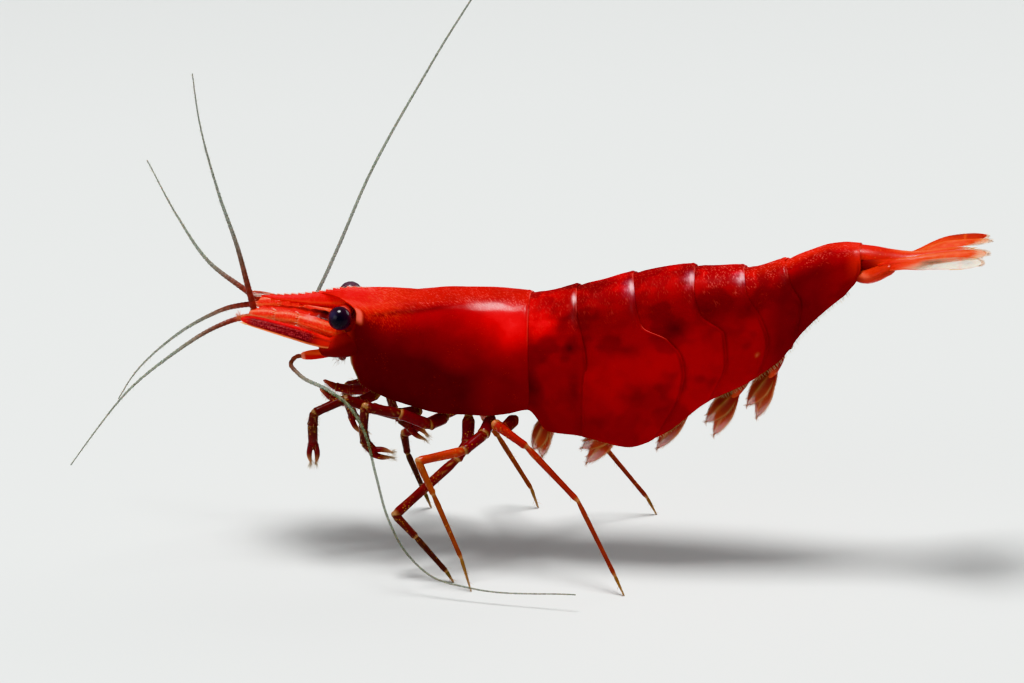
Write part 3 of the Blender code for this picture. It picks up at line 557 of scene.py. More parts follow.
# the orbit's hind edge is a soft pink lobe, a painted highlight on its bead, with a line of painted shade
# behind it; the front corner's margin is pale and thin, and a painted highlight runs along the hind margin
lobe = ease(0.24, 0.28, share) * ease(0.40, 0.34, share)
tone = painted(
    tone,
    (CREASE_SHADE, 0.6 * hump(from_front, 0.36, 0.06) * lobe),
    (ORBIT_HIGHLIGHT, 0.95 * np.exp(-(((from_front - 0.12) / 0.16) ** 4)) * lobe),
    (CORNER_PALE, 0.9 * hump(from_front, 0, 0.06) * ease(0.72, 0.78, share) * ease(1.0, 0.93, share)),
    (MARGIN_HIGHLIGHT, 0.55 * hump(from_rear, 0, 0.04) * ease(0.45, 0.33, share) * ease(-1.0, 0.2, waves)),
)
# wet shine lies on the shoulder and along the hind margin
wet = patch(x, share, (-1.35, 0.17), (1.1, 0.06))
wet = np.maximum(wet, patch(from_rear, share, (0.08, 0.20), (0.12, 0.07)))
carapace_skin = plate_skin(rings, tinted(tone, CARAPACE_DULL - CARAPACE_DULL * wet), CARAPACE_INSET)

# the rostrum is the carapace's own long saw-edged spike, its teeth leaning forward
# x, upper edge, lower edge, half thickness
ROSTRUM = (
    (-11.4, 10.95, 10.88, 0.03),
    (-10.8, 10.96, 10.78, 0.07),
    (-9.9, 11.02, 10.66, 0.12),
    (-8.9, 11.17, 10.52, 0.17),
    (-8.0, 11.37, 10.45, 0.22),
    (-7.2, 11.42, 10.55, 0.26),
    (-6.4, 11.39, 10.80, 0.22),
    (-5.6, 11.30, 11.00, 0.10),
)
UPPER_TEETH, UPPER_FROM, UPPER_TO, UPPER_HEIGHT = 15, -11.0, -6.6, 0.085
LOWER_TEETH, LOWER_FROM, LOWER_TO, LOWER_HEIGHT = 4, -11.0, -9.4, 0.09
ROSTRUM_RED = colour(255, 20, 9)
ROSTRUM_PALE = colour(255, 150, 120)
ROSTRUM_LOW = colour(190, 8, 6)
ROSTRUM_GRAIN = colour(255, 110, 80)
RIDGE_ORANGE = colour(255, 84, 52)


def saw(x, first, last, count):
    """A row of teeth from 0 to 1 high. Going forward each rises slowly, as the share of its pitch to the
    power 1.4, and falls at once."""
    pitch = (last - first) / count
    share = (last - x) / pitch
    inside = (x > first) & (x < last)
    part = share - np.floor(share)
    return np.where(inside, np.where(part < 0.86, (part / 0.86) ** 1.4, (1 - part) / 0.14), 0)


def rostrum_rings():
    """A slender lens standing on edge, carried along the spike, with a side ridge at a third of its
    height."""
    x = np.linspace(ROSTRUM[0][0], ROSTRUM[-1][0], 420)[:, None]
    around = np.linspace(0, 2 * math.pi, 28, endpoint=False)[None]
    upper, lower, half = np.moveaxis(through(ROSTRUM, x), -1, 0)
    up, out = np.cos(around), np.sin(around)
    ridge = 1 + 0.35 * hump(np.abs(around - math.pi), 1.15, 0.25)
    y = half * np.sign(out) * np.abs(out) ** 1.25 * ridge
    z = (upper + lower) / 2 + (upper - lower) / 2 * up
    top_tooth = saw(x, UPPER_FROM, UPPER_TO, UPPER_TEETH) * UPPER_HEIGHT * np.maximum(up, 0) ** 14
    low_tooth = saw(x, LOWER_FROM, LOWER_TO, LOWER_TEETH) * LOWER_HEIGHT * np.maximum(-up, 0) ** 14
    rings = np.stack([x - 0.5 * top_tooth - 0.5 * low_tooth, y, z + top_tooth - low_tooth], axis=-1)
    return rings, top_tooth + low_tooth


spike, teeth = rostrum_rings()
height = spike[..., 2]
tone = painted(
    ROSTRUM_RED,
    (ROSTRUM_PALE, (0.8 - 0.5 * ease(-9.6, -8.6, spike[..., 0])) * ease(0.02, 0.08, teeth)),
    (RIDGE_ORANGE, 0.8 * hump(height, 10.78, 0.05)),
    (ROSTRUM_LOW, 0.6 * ease(10.72, 10.55, height)),
    (ROSTRUM_GRAIN, 0.4 * grainy(teeth.shape, 12)),
)
carapace_chitin = shell_material(
    "carapace_chitin", 0.30, mottle=0.22, speckle=0.14, bump=0.34, speckle_colour=(240, 110, 96)
)
skins = [carapace_skin, closed_skin(spike, tinted(tone, ROSTRUM_DULL))]
carapace = make_piece("carapace_shell", skins, carapace_chitin)
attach(carapace, "root")
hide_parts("carapace")

# The tail's six plates: broad hoops of the same chitin, hinged at the sides, each tucked under the one
# ahead. The second one's sides lap over the first's, as in all such shrimps. The hind margins are thickened,
# with a thin painted highlight along them.
TUCK, LAP = 0.65, 0.06
# how deep the tucked front lies, how much less on the first plate's sides, and how far the lap stands out
TUCK_DEPTH, FIRST_FLUSH, LAP_HEIGHT = 0.035, 0.022, 0.10
LUMP_HEIGHT = 0.012
TAIL_DULL, TAIL_WET = 0.88, 0.8
TAIL_RED = colour(154, 2, 3)
TAIL_BRIGHT = colour(190, 9, 6)
TAIL_DARK = colour(118, 1, 3)
TAIL_DEEP = colour(84, 0, 2)
BACK_ORANGE = colour(214, 36, 16)
GLINT = colour(226, 150, 172)
SPARK = colour(250, 206, 206)
# x, share, half length, half height in shares, colour
TAIL_MARKS = (
    (1.8, 0.42, 0.22, 0.025, colour(60, 0, 2)),
    (2.0, 0.66, 0.25, 0.10, colour(92, 0, 2)),
    (0.15, 0.74, 0.40, 0.16, colour(72, 0, 2)),
    (0.6, 0.28, 0.50, 0.07, colour(238, 8, 4)),
    (4.1, 0.45, 0.90, 0.025, colour(130, 0, 2)),
    (4.6, 0.70, 0.60, 0.07, colour(122, 0, 2)),
    (6.1, 0.41, 0.60, 0.05, colour(78, 0, 2)),
    (7.4, 0.36, 0.40, 0.05, colour(90, 0, 2)),
    (9.1, 0.40, 0.60, 0.07, colour(92, 0, 2)),
    (9.52, 0.79, 0.07, 0.016, colour(206, 110, 84)),
    (5.4, 0.58, 0.80, 0.08, colour(186, 3, 3)),
    (3.4, 0.60, 1.10, 0.12, colour(180, 3, 3)),
    (7.6, 0.62, 1.10, 0.12, colour(178, 2, 3)),
)
TAIL_ACROSS = 181
PLATE_ROWS = {
    "abdomen_1": 60, "abdomen_2": 90, "abdomen_3": 90, "abdomen_4": 70, "abdomen_5": 60, "abdomen_6": 80,
}


def tail_plate(name, ahead):
    """One plate's ring grid, from under the hind margin of the plate ahead to its own hind margin."""
    over = 1.0 if name == "abdomen_2" else 0.0
    flush = FIRST_FLUSH if name == "abdomen_1" else 0.0
    shares = np.linspace(0, 1, 51)
    lapped = over * ease(0.40, 0.52, shares)
    hidden = through(PLATE_EDGES[ahead], shares)[:, 0] + (PLATE_GAP - TUCK) * (1 - lapped) - LAP * lapped

    def tucked(distance, share):
        """Just under the plate ahead over the tuck. The second plate's sides stand over it instead."""
        under = -(TUCK_DEPTH - flush * ease(0.32, 0.42, share)) * ease(TUCK + 0.1, TUCK - 0.3, distance)
        lap = over * ease(0.5, 0.62, share)
        return under * (1 - lap) + lap * LAP_HEIGHT * ease(0.0, 0.04, distance) * ease(1.2, 0.4, distance)

    def rim(distance, share):
        """The hind margin. The first plate's sides stay flat, as the second lies over them, and the last
        plate's back dips to the telson."""
        if name == "abdomen_6":
            dip = 0.06 * ease(0.7, 0.0, distance) * ease(0.45, 0.25, share)
            return 0.2 * rear_rim(distance, share) - dip
        return rear_rim(distance, share) * (ease(0.55, 0.45, share) if name == "abdomen_1" else 1.0)

    front = np.stack([shares, hidden], axis=-1)
    return plate(front, PLATE_EDGES[name], PLATE_ROWS[name], TAIL_ACROSS, HOLLOW_ACROSS, tucked, rim)


def tail_tone(name, rings, share, from_rear, waves):
    """A plate's colour at each point: blotched dark red, its marks, an orange back, and glints on its
    margin."""
    x = rings[..., 0]
    blots = ripple(rings, 1.9, 5)
    fine = np.clip(ripple(rings, 0.55, 17), -1, 1)
    grains = grainy(x.shape, 9)
    tone = painted(
        TAIL_RED,
        (TAIL_BRIGHT, 0.8 * ease(0.34, 0.10, share) * ease(-0.2, 0.7, waves + 0.5 * fine)),
        (TAIL_BRIGHT, ease(0.8, 0.0, x) * ease(0.46, 0.30, share)),
        (TAIL_DARK, 0.75 * ease(0.0, 0.8, blots + 0.35 * fine)),
        (TAIL_DARK, 0.6 * ease(0.62, 0.9, share + 0.06 * waves) * ease(6.5, 4.5, x)),
        (TAIL_DEEP, 0.8 * ease(9.2, 10.6, x) * ease(12.9, 11.8, x) * ease(0.16, 0.34, share)),
    )
    # lit from above, the flank keeps one depth of red from the shoulder down to the lower edge
    even = 1 - 0.32 * hump(share, 0.29, 0.10) * ease(0.4, 1.4, x) * ease(10.2, 9.2, x)
    even = even + (0.32 + 0.25 * ease(10.0, 11.5, x)) * ease(0.34, 0.50, share) * ease(2.0, 3.2, x)
    even = even - 0.60 * ease(11.6, 12.6, x) * ease(0.30, 0.46, share)
    even = even - 0.28 * ease(0.8, 1.6, x) * ease(3.2, 2.0, x) * ease(0.24, 0.14, share)
    tone = tone * even[..., None]
    for spot_x, spot_share, wide, high, mark in TAIL_MARKS:
        near = ((x - spot_x) / wide) ** 2 + ((share - spot_share) / high) ** 2
        tone = blend(tone, mark, 0.85 * np.exp(-near * (1 + 0.5 * fine)))
    # painted highlights: a thin line along the hind margin, and glints and sparks just before it
    pale = 0.6 * ease(0.30, 0.20, share) * ease(-0.6, 0.3, waves)
    if name == "abdomen_2":
        pale = pale + 0.95 * ease(0.345, 0.375, share) * ease(0.47, 0.42, share)
    glint = patch(from_rear, share, (0.10, 0.14), (0.28, 0.05)) * (2.0 < x) * (x < 9.2)
    spark = patch(from_rear, share, (0.09, 0.135), (0.09, 0.035)) * (1.2 < x) * (x < 9.2)
    return painted(
        tone,
        (BACK_ORANGE, 0.7 * ease(0.17, 0.06, share) * ease(8.0, 11.5, x)),
        (GRAIN_PINK, 0.45 * grains * ease(0.32, 0.12, share + 0.1 * fine) * (0.4 + 0.6 * ease(5.5, 8.0, x))),
        (BACK_ORANGE, 0.8 * ease(12.9, 13.7, x) * ease(0.9, 0.4, share)),
        (MARGIN_HIGHLIGHT, np.clip(hump(from_rear, 0, 0.035) * pale, 0, 1)),
        (GLINT, (0.35 + 0.45 * grains) * glint * ease(-1.2, 0.4, fine)),
        (SPARK, 0.8 * spark * ease(-1.6, 0.2, fine)),
        (TAIL_DARK, 0.5 * hump(from_rear, 0.10, 0.05) * ease(0.3, 0.5, share)),
    )


tail_chitin = shell_material(
    "tail_chitin", 0.30, mottle=0.30, speckle=0.10, bump=0.36, pitch=0.75, speckle_colour=(230, 100, 92)
)
plate_names = ["carapace"] + [f"abdomen_{number}" for number in range(1, 7)]
for ahead, name in zip(plate_names, plate_names[1:]):
    rings, share, side, from_front, from_rear = tail_plate(name, ahead)
    waves = ripple(rings, 1.3, 11)
    lumps = LUMP_HEIGHT * waves * ease(TUCK, TUCK + 0.6, from_front)
    rings[..., 1] += side * lumps
    wet = patch(from_rear, share, (0.12, 0.23), (0.22, 0.09))
    tint = tinted(tail_tone(name, rings, share, from_rear, waves), TAIL_DULL - TAIL_WET * wet)
    hoop = make_piece(name + "_shell", [plate_skin(rings, tint, TAIL_INSET)], tail_chitin)
    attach(hoop, "root")
    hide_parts(name)


# The tail fan's middle: the telson is a stiff tapered shell with two rows of short spines on its back and
# more at its blunt tip. Soft flesh fills the fan's root on either side of it.
def smooth_line(points, count):
    """An even, smooth curve through the given points: cubics by the length run, slopes from the
    neighbours."""
    points = np.array(points, float)
    place = np.concatenate([[0], np.cumsum(np.linalg.norm(np.diff(points, axis=0), axis=1))])
    tangent = np.gradient(points, place, axis=0)
    at = np.linspace(0, place[-1], count)
    index = np.clip(np.searchsorted(place, at, side="right") - 1, 0, len(place) - 2)
    width = (place[index + 1] - place[index])[:, None]
    share = ((at - place[index])[:, None]) / width
    return cubic(points, tangent, index, width, share)


def unit(vectors):
    """The vectors, each divided by its own length."""
    return vectors / np.linalg.norm(vectors, axis=-1, keepdims=True)


def along(values, share):
    """The given values, spread evenly from share 0 to share 1, read smoothly at each share."""
    stations = np.stack([np.linspace(0, 1, len(values)), values], axis=-1)
    return through(stations, share)[:, 0]


def sided(points, side):
    """The points with their outward y taken to that side of the animal."""
    return np.array(points, float) * (1, side, 1)


# how far a tube's rounded end reaches past its line at each of its extra rings, as shares of the end's depth
END_REACH = np.array([1.0, 0.92, 0.70, 0.12])
END_DEPTH = 0.8


def carried(line, radii, around=14, flat=1.0, wide=(0.0, 1.0, 0.0), rows=None):
    """A closed tube: an oval of the given radii, flat times as thick as wide, carried along the line. The
    oval's width lies along the given direction, or level with the ground. The ends are rounded off as
    quarter ovals. Returns the rings and the share along the line at each of their points."""
    rows = rows or len(line)
    path = smooth_line(line, rows)
    radius = along(radii, np.linspace(0, 1, rows))
    tangent = unit(np.gradient(path, axis=0))
    across = np.array(wide)
    out = unit(across - tangent * (tangent @ across)[:, None])
    up = np.cross(out, tangent)
    turn = np.linspace(0, 2 * math.pi, around, endpoint=False)
    extra = len(END_REACH)
    head = [path[0] - tangent[0] * radius[0] * reach * END_DEPTH for reach in END_REACH]
    tail = [path[-1] + tangent[-1] * radius[-1] * reach * END_DEPTH for reach in END_REACH[::-1]]
    shrink = np.sqrt(1 - END_REACH**2 * 0.98)
    path = np.concatenate([head, path, tail])
    radius = np.concatenate([radius[0] * shrink, radius, radius[-1] * shrink[::-1]])
    out = np.concatenate([[out[0]] * extra, out, [out[-1]] * extra])
    up = np.concatenate([[up[0]] * extra, up, [up[-1]] * extra])
    oval = out[:, None] * np.cos(turn)[None, :, None] + up[:, None] * (flat * np.sin(turn))[None, :, None]
    share = np.clip((np.arange(rows + 2 * extra) - extra) / (rows - 1), 0, 1)
    return path[:, None] + oval * radius[:, None, None], share[:, None] + 0 * turn[None]


def leaf(line, half_widths, thick, outward, rows, around, arch, keel=0.0):
    """A thin leaf: a lens with sharp edges carried along the line, arched across its width by a parabola,
    with a raised midrib. Its tip is rounded off by a quarter of an oval over the last tenth. Returns the
    rings, and at each of their points the share along and the place across (-1, 1)."""
    share = np.sin(np.linspace(0, math.pi / 2, rows)) ** 0.9
    fine = smooth_line(line, 400)
    path = np.stack([np.interp(share, np.linspace(0, 1, 400), fine[:, axis]) for axis in range(3)], axis=-1)
    width = along(half_widths, share) * np.sqrt(1 - np.clip((share - 0.88) / 0.121, 0, 1) ** 2)
    depth = along(thick, share)
    tangent = unit(np.gradient(path, axis=0))
    out = np.array(outward, float)
    wide = unit(out - tangent * (tangent @ out)[:, None])
    up = np.cross(wide, tangent)
    up = up * np.sign(up[:, 2:] + 1e-9)
    turn = np.linspace(0, 2 * math.pi, around, endpoint=False)
    across, over = np.cos(turn), np.sin(turn)
    rise = np.sign(over) * np.abs(over) ** 1.3 * 0.5
    lift = (rise + keel * hump(across, 0, 0.12) * np.maximum(over, 0))[None] * depth[:, None]
    lift = lift + arch * (1 - across**2)[None] * width[:, None]
    spread = across * width[:, None]
    rings = path[:, None] + wide[:, None] * spread[..., None] + up[:, None] * lift[..., None]
    return rings, share[:, None] + 0 * turn[None], across[None] + 0 * share[:, None]


def spine(root, tip, radius, tint):
    """A small sharp cone from root to tip."""
    root, tip = np.array(root, float), np.array(tip, float)
    middle = root + (tip - root) * 0.55
    rings, _ = carried((root, middle, tip), (radius, radius * 0.62, radius * 0.08), 6, rows=5)
    return closed_skin(rings, np.append(tint, 0.0))


FAN_RED = colour(204, 30, 8)
FAN_ORANGE = colour(224, 66, 18)
FAN_PALE = colour(222, 164, 104)
FAN_STRIPE = colour(246, 112, 44)
ROOT_DARK, ROOT_LIGHT = colour(130, 5, 4), colour(206, 40, 12)
TELSON_LINE = (
    (13.2, 0, 13.77), (14.0, 0, 13.77), (15.0, 0, 13.71), (15.8, 0, 13.72), (17.0, 0, 13.98),
    (18.2, 0, 14.22),
)
TELSON_WIDTHS, TELSON_THICK = (0.62, 0.58, 0.50, 0.42, 0.36, 0.28), (0.50, 0.42, 0.32, 0.24, 0.16, 0.08)
TELSON_ARCH = 0.34
TELSON_ROOT = ((13.3, 0.30, 13.46), (13.8, 0.38, 13.50), (14.4, 0.46, 13.56), (15.0, 0.52, 13.66))
TELSON_ROOT_RADII = (0.30, 0.34, 0.28, 0.16)
# the spines' places along the back in hundredths, and the reach of each spine across the tip
BACK_SPINES = (38, 52, 66, 80)
TIP_SPINES = (0.30, 0.22, 0.2, 0.2, 0.2, 0.2, 0.22, 0.30)
BACK_SPINE, TIP_SPINE, TIP_HALF_WIDTH = 0.035, 0.024, 0.15

fan_chitin = shell_material(
    "fan_chitin", 0.26, mottle=0.35, speckle=0.30, bump=0.25, soft=0.25, clear_share=0.75
)
rings, share, across = leaf(TELSON_LINE, TELSON_WIDTHS, TELSON_THICK, (0, 1, 0), 90, 56, TELSON_ARCH)
tone = painted(
    FAN_RED,
    (FAN_ORANGE, ease(0.2, 0.9, share)),
    (FAN_STRIPE, 0.65 * hump(across, 0, 0.22) * ease(0.25, 0.5, share) * ease(1.0, 0.85, share)),
    (FAN_PALE, 0.8 * ease(0.88, 1.0, share)),
)
skins = [closed_skin(rings, tinted(tone, 0.5 * ease(0.7, 1.0, share)))]
telson_path = smooth_line(TELSON_LINE, 101)
for place in BACK_SPINES:
    for side in (-1, 1):
        root = telson_path[place] + np.array([0, side * 0.17, 0.12])
        skins.append(spine(root, root + np.array([0.20, side * 0.03, 0.05]), BACK_SPINE, FAN_PALE))
for step, reach in zip(np.linspace(-TIP_HALF_WIDTH, TIP_HALF_WIDTH, len(TIP_SPINES)), TIP_SPINES):
    root = telson_path[99] + np.array([-0.02, step, 0])
    skins.append(spine(root, root + np.array([reach, step * 0.5, 0.02]), TIP_SPINE, FAN_PALE))
telson = make_piece("telson_shell", skins, fan_chitin)
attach(telson, "root")
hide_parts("telson")

skins = []
for side in (-1, 1):
    rings, share = carried(sided(TELSON_ROOT, side), TELSON_ROOT_RADII, 28, 0.95, rows=24)
    skins.append(closed_skin(rings, tinted(blend(ROOT_DARK, ROOT_LIGHT, ease(0.35, 0.9, share)), 0.9)))
root_flesh = make_piece("telson_root_flesh", skins, tail_chitin)
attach(root_flesh, "root")
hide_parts("telson")

# The uropods: on either side of the telson a stout stem carries two thin leaves, an inner and an outer one.
# They are ribbed, pale and see-through towards their fringed ends. A seam with spines crosses the outer one.
UROPOD_STEM = ((13.35, 0.40, 13.02), (13.8, 0.62, 13.06), (14.3, 0.84, 13.20), (14.9, 0.98, 13.40))
UROPOD_STEM_RADII = (0.22, 0.34, 0.37, 0.30)
INNER_LINE = (
    (14.5, 0.88, 13.32), (15.5, 0.92, 13.62), (16.8, 0.96, 13.92), (18.1, 1.00, 14.14), (18.85, 1.02, 14.24),
)
OUTER_LINE = (
    (14.55, 0.94, 13.34), (15.5, 1.12, 13.58), (16.8, 1.56, 13.90), (18.0, 1.84, 14.06), (18.7, 1.96, 14.12),
)
INNER_WIDTHS, OUTER_WIDTHS = (0.26, 0.42, 0.56, 0.54, 0.38), (0.20, 0.36, 0.62, 0.68, 0.48)
FAN_THICK = (0.34, 0.2, 0.13, 0.09, 0.05)
FAN_ROWS, FAN_AROUND = 90, 48
INNER_ARCH, OUTER_ARCH, FAN_KEEL = 0.14, 0.12, 0.5
# the near leaves are held a little higher than the far ones: how far near the root, and towards the tip
FAN_RAISE = {-1: (0.18, 0.18), 1: (-0.26, 0.03)}
STEM_DARK, STEM_LIGHT, STEM_KNOB_HIGHLIGHT = colour(130, 6, 4), colour(206, 44, 14), colour(250, 120, 90)
# the outer leaf's own tone and how clear it is, for the near and the far one
OUTER_TONE = {-1: colour(206, 206, 176), 1: colour(164, 28, 8)}
OUTER_CLEAR = {-1: 0.95, 1: 0.15}
FAN_GREY = colour(120, 104, 84)
FAN_HAIR = colour(244, 214, 190)
FAN_HAIR_LENGTH, FAN_HAIR_LEAN = 0.42, 0.75
# the stretch of each margin that bears hair, as shares of its length, and how many hairs
INNER_FRINGE = (0.55, 1.0), 46
OUTER_SIDE_FRINGE = (0.84, 1.0), 26
OUTER_END_FRINGE = (0.50, 1.0), 50
SEAM_SPINES, SEAM_SPINE = (46, 49, 52, 55), 0.018
# the hair section plants bristles on these margins: piece, slot, row of places, ways out, and how they grow
margins = []


def fringe(piece, slot, rings, column, reach, count, length, lean, tint):
    """Notes one column of a leaf's ring grid as a margin for hair, between two shares of its length. The
    way out at each place is the way from its ring's middle."""
    edge = rings[:, column]
    margins.append((piece, slot, edge, unit(edge - rings.mean(1)), reach, count, length, lean, tint))


def edge_columns(side, around):
    """The columns of a leaf's ring grid that run along its outer and its inner margin on that side."""
    return (0, around // 2) if side > 0 else (around // 2, 0)


def raised(rings, side):
    """The rings lifted by that side's amounts: from nothing at x 13.9, one amount to the next from 15.5 to
    17.2."""
    near, far = FAN_RAISE[side]
    x = rings[..., 0]
    rings = rings.copy()
    rings[..., 2] += ease(13.9, 15.2, x) * (near + (far - near) * ease(15.5, 17.2, x))
    return rings


for word, side in (("left", -1), ("right", 1)):
    uropod_name = f"uropod_{word}"
    outer_column, inner_column = edge_columns(side, FAN_AROUND)
    rings, share = carried(sided(UROPOD_STEM, side), UROPOD_STEM_RADII, 28, 0.85, rows=26)
    rings = raised(rings, side)
    # a painted pink highlight on the stem's knob
    knob_highlight = patch(rings[..., 0], rings[..., 2], (13.85, 13.22), (0.26, 0.12))
    tone = painted(STEM_DARK, (STEM_LIGHT, ease(0.1, 0.5, share)), (STEM_KNOB_HIGHLIGHT, 0.75 * knob_highlight))
    skins = [closed_skin(rings, tinted(tone))]

    outward = (0, 1, -0.10 * side)
    rings, share, across = leaf(
        sided(INNER_LINE, side), INNER_WIDTHS, FAN_THICK, outward, FAN_ROWS, FAN_AROUND, INNER_ARCH, FAN_KEEL
    )
    rings = raised(rings, side)
    tone = painted(
        FAN_RED,
        (FAN_ORANGE, ease(0.1, 0.5, share)),
        (FAN_STRIPE, 0.6 * hump(across, 0, 0.16) * ease(0.1, 0.3, share)),
        (FAN_STRIPE, 0.35 * ease(0.2, 0.8, ripple(rings, 0.35, 51)) * ease(0.2, 0.35, share)),
        (FAN_PALE, 0.75 * ease(0.86, 1.0, share + 0.10 * across**2)),
    )
    skins.append(closed_skin(rings, tinted(tone, 0.6 * ease(0.75, 1.0, share + 0.12 * across**2))))
    growth = FAN_HAIR_LENGTH, FAN_HAIR_LEAN, FAN_HAIR
    for column in (0, FAN_AROUND // 2):
        fringe(uropod_name, "head_limb", rings, column, *INNER_FRINGE, *growth)

    outward = (0, 1, -0.06 * side)
    rings, share, across = leaf(
        sided(OUTER_LINE, side), OUTER_WIDTHS, FAN_THICK, outward, FAN_ROWS, FAN_AROUND, OUTER_ARCH, FAN_KEEL
    )
    rings = raised(rings, side)
    outer = across * side
    tone = painted(
        FAN_RED,
        (FAN_ORANGE, ease(0.05, 0.4, share)),
        (OUTER_TONE[side], 0.85 * ease(0.35, 0.75, share + 0.25 * outer)),
        (FAN_GREY, 0.75 * hump(outer, 0.25, 0.14) * ease(0.35, 0.5, share) * ease(0.97, 0.9, share)),
        (FAN_STRIPE, 0.4 * hump(share - 0.03 * outer, 0.80, 0.012)),
        (FAN_ORANGE, 0.8 * ease(0.90, 0.98, outer)),
    )
    skins.append(closed_skin(rings, tinted(tone, OUTER_CLEAR[side] * ease(0.3, 0.8, share + 0.2 * outer))))
    fringe(uropod_name, "head_limb", rings, outer_column, *OUTER_SIDE_FRINGE, *growth)
    fringe(uropod_name, "head_limb", rings, inner_column, *OUTER_END_FRINGE, *growth)
    for row in SEAM_SPINES:
        root = rings[row, outer_column]
        tip = root + np.array([0.12, side * 0.03, 0.01])
        skins.append(spine(root - np.array([0.03, side * 0.02, 0]), tip, SEAM_SPINE, FAN_PALE))
    uropod = make_piece(f"{uropod_name}_leaves", skins, fan_chitin)
    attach(uropod, "root")
    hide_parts(uropod_name)

# The eyes: a glossy blue-black cornea of fine facets on a short red stalk speckled with pale pigment.
# Each sits in the cut-out of the carapace. The cornea is a little wider than its stalk.
EYE_MIDDLE = np.array((-7.85, 1.58, 10.62))
EYE_RADIUS, EYE_FLAT = 0.50, 0.96
FACET_PITCH, FACET_DEPTH = 22, 0.006
EYE_SHEEN = colour(70, 38, 52)
EYE_BLACK, EYE_MAROON, EYE_RIM_RED = colour(13, 13, 22), colour(34, 22, 32), colour(120, 40, 40)
EYE_HIGHLIGHT, FAR_EYE_GLARE = colour(66, 66, 88), colour(110, 84, 96)
STALK_RED, STALK_DULL, STALK_RING = colour(200, 30, 16), colour(150, 40, 44), colour(250, 140, 120)
# x, outward y, height
STALK_LINE = ((-7.72, 0.35, 10.60), (-7.75, 0.75, 10.62), (-7.80, 1.1, 10.63), (-7.84, 1.42, 10.62))
STALK_RADII = (0.26, 0.28, 0.36, 0.42)

eye_glass = bpy.data.materials.new("eye_glass")
eye_glass.use_nodes = True
nodes, links = eye_glass.node_tree.nodes, eye_glass.node_tree.links
shader = nodes["Principled BSDF"]
place = nodes.new("ShaderNodeTexCoord")
facets = nodes.new("ShaderNodeTexVoronoi")
facets.inputs["Scale"].default_value = FACET_PITCH / MM
links.new(place.outputs["Object"], facets.inputs["Vector"])
dimple = nodes.new("ShaderNodeBump")
dimple.inputs["Strength"].default_value = 0.35
dimple.inputs["Distance"].default_value = FACET_DEPTH * MM
links.new(facets.outputs["Distance"], dimple.inputs["Height"])
links.new(dimple.outputs["Normal"], shader.inputs["Normal"])
eye_tint = nodes.new("ShaderNodeAttribute")
eye_tint.attribute_name = "tint"
slope = nodes.new("ShaderNodeLayerWeight")
slope.inputs["Blend"].default_value = 0.25
sheen = nodes.new("ShaderNodeMix")
sheen.data_type = "RGBA"
links.new(slope.outputs["Facing"], sheen.inputs[0])
links.new(eye_tint.outputs["Color"], sheen.inputs[6])
sheen.inputs[7].default_value = tuple(EYE_SHEEN) + (1,)
links.new(sheen.outputs[2], shader.inputs["Base Color"])
shader.inputs["Roughness"].default_value = 0.24
shader.inputs["Specular IOR Level"].default_value = 0.16
shader.inputs["Coat Weight"].default_value = 0.22
shader.inputs["Coat Roughness"].default_value = 0.10

for word, side in (("left", -1), ("right", 1)):
    centre = EYE_MIDDLE * (1, side, 1)
    outward = unit(np.array([-0.25, side * 1.0, 0.10]))
    level = unit(np.cross(outward, (0, 0, 1.0)))
    upright = np.cross(level, outward)
    turn = np.linspace(0, 2 * math.pi, 72, endpoint=False)[None]
    polar = np.linspace(0.02, math.pi - 0.02, 60)[:, None] + 0 * turn
    ball = (
        outward * np.cos(polar)[..., None] * EYE_FLAT
        + level * (np.sin(polar) * np.cos(turn))[..., None]
        + upright * (np.sin(polar) * np.sin(turn))[..., None]
    )
    # painted highlights: a soft bluish one on each cornea's upper front, and a grey-purple glare over the far
    # one's top
    highlight_toward = unit(np.array([-0.55, side * 0.65, 0.52]))
    glass = painted(
        EYE_BLACK,
        (EYE_MAROON, ease(0.2, 1.6, polar)),
        (EYE_RIM_RED, ease(1.9, 2.3, polar)),
        (EYE_HIGHLIGHT, 0.7 * hump(1 - ball @ highlight_toward, 0, 0.10)),
        (FAR_EYE_GLARE, 0.7 * ease(0.45, 0.95, ball[..., 2]) * (side > 0)),
    )
    skins = [closed_skin(centre + ball * EYE_RADIUS, tinted(glass))]
    cornea = make_piece(f"eye_{word}_cornea", skins, eye_glass)
    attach(cornea, "root")
    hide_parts(f"eye_{word}")

    rings, share = carried(sided(STALK_LINE, side), STALK_RADII, 28, wide=(1.0, 0.0, 0.0), rows=26)
    tone = blend(STALK_RED, STALK_DULL, ease(0.3, 0.9, share))
    tone = blend(tone, STALK_RING, 0.5 * hump(share, 0.80, 0.10))
    stalk = make_piece(f"eye_{word}_stalk", [closed_skin(rings, tinted(tone))], carapace_chitin)
    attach(stalk, "root")
    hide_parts(f"eye_{word}")

# The front of the head between the eyes: soft dark flesh under the rostrum that the eye stalks and feelers
# grow from. It fills the open front of the carapace down to the mouth, and runs out as a narrow ledge under
# the spike.
FACE_LINE = ((-6.7, 0, 9.7), (-7.3, 0, 9.75), (-7.9, 0, 9.72), (-8.35, 0, 9.70))
LEDGE_LINE = ((-7.9, 0, 9.86), (-9.0, 0, 10.08), (-10.2, 0, 10.26), (-11.3, 0, 10.33))
FACE_RADII, LEDGE_RADII = (1.05, 0.98, 0.86, 0.60), (0.60, 0.50, 0.42, 0.26)
FLESH_DULL = 0.6
FACE_DARK, FACE_RED = colour(104, 3, 4), colour(150, 14, 8)
LEDGE_RED, LEDGE_ORANGE, LEDGE_SHADE = colour(150, 8, 6), colour(214, 32, 14), colour(64, 4, 4)


def swollen(rings, share):
    """The rings scaled about their middles by 1 plus the given share."""
    middle = rings.mean(1, keepdims=True)
    return middle + (rings - middle) * (1 + share)[..., None]


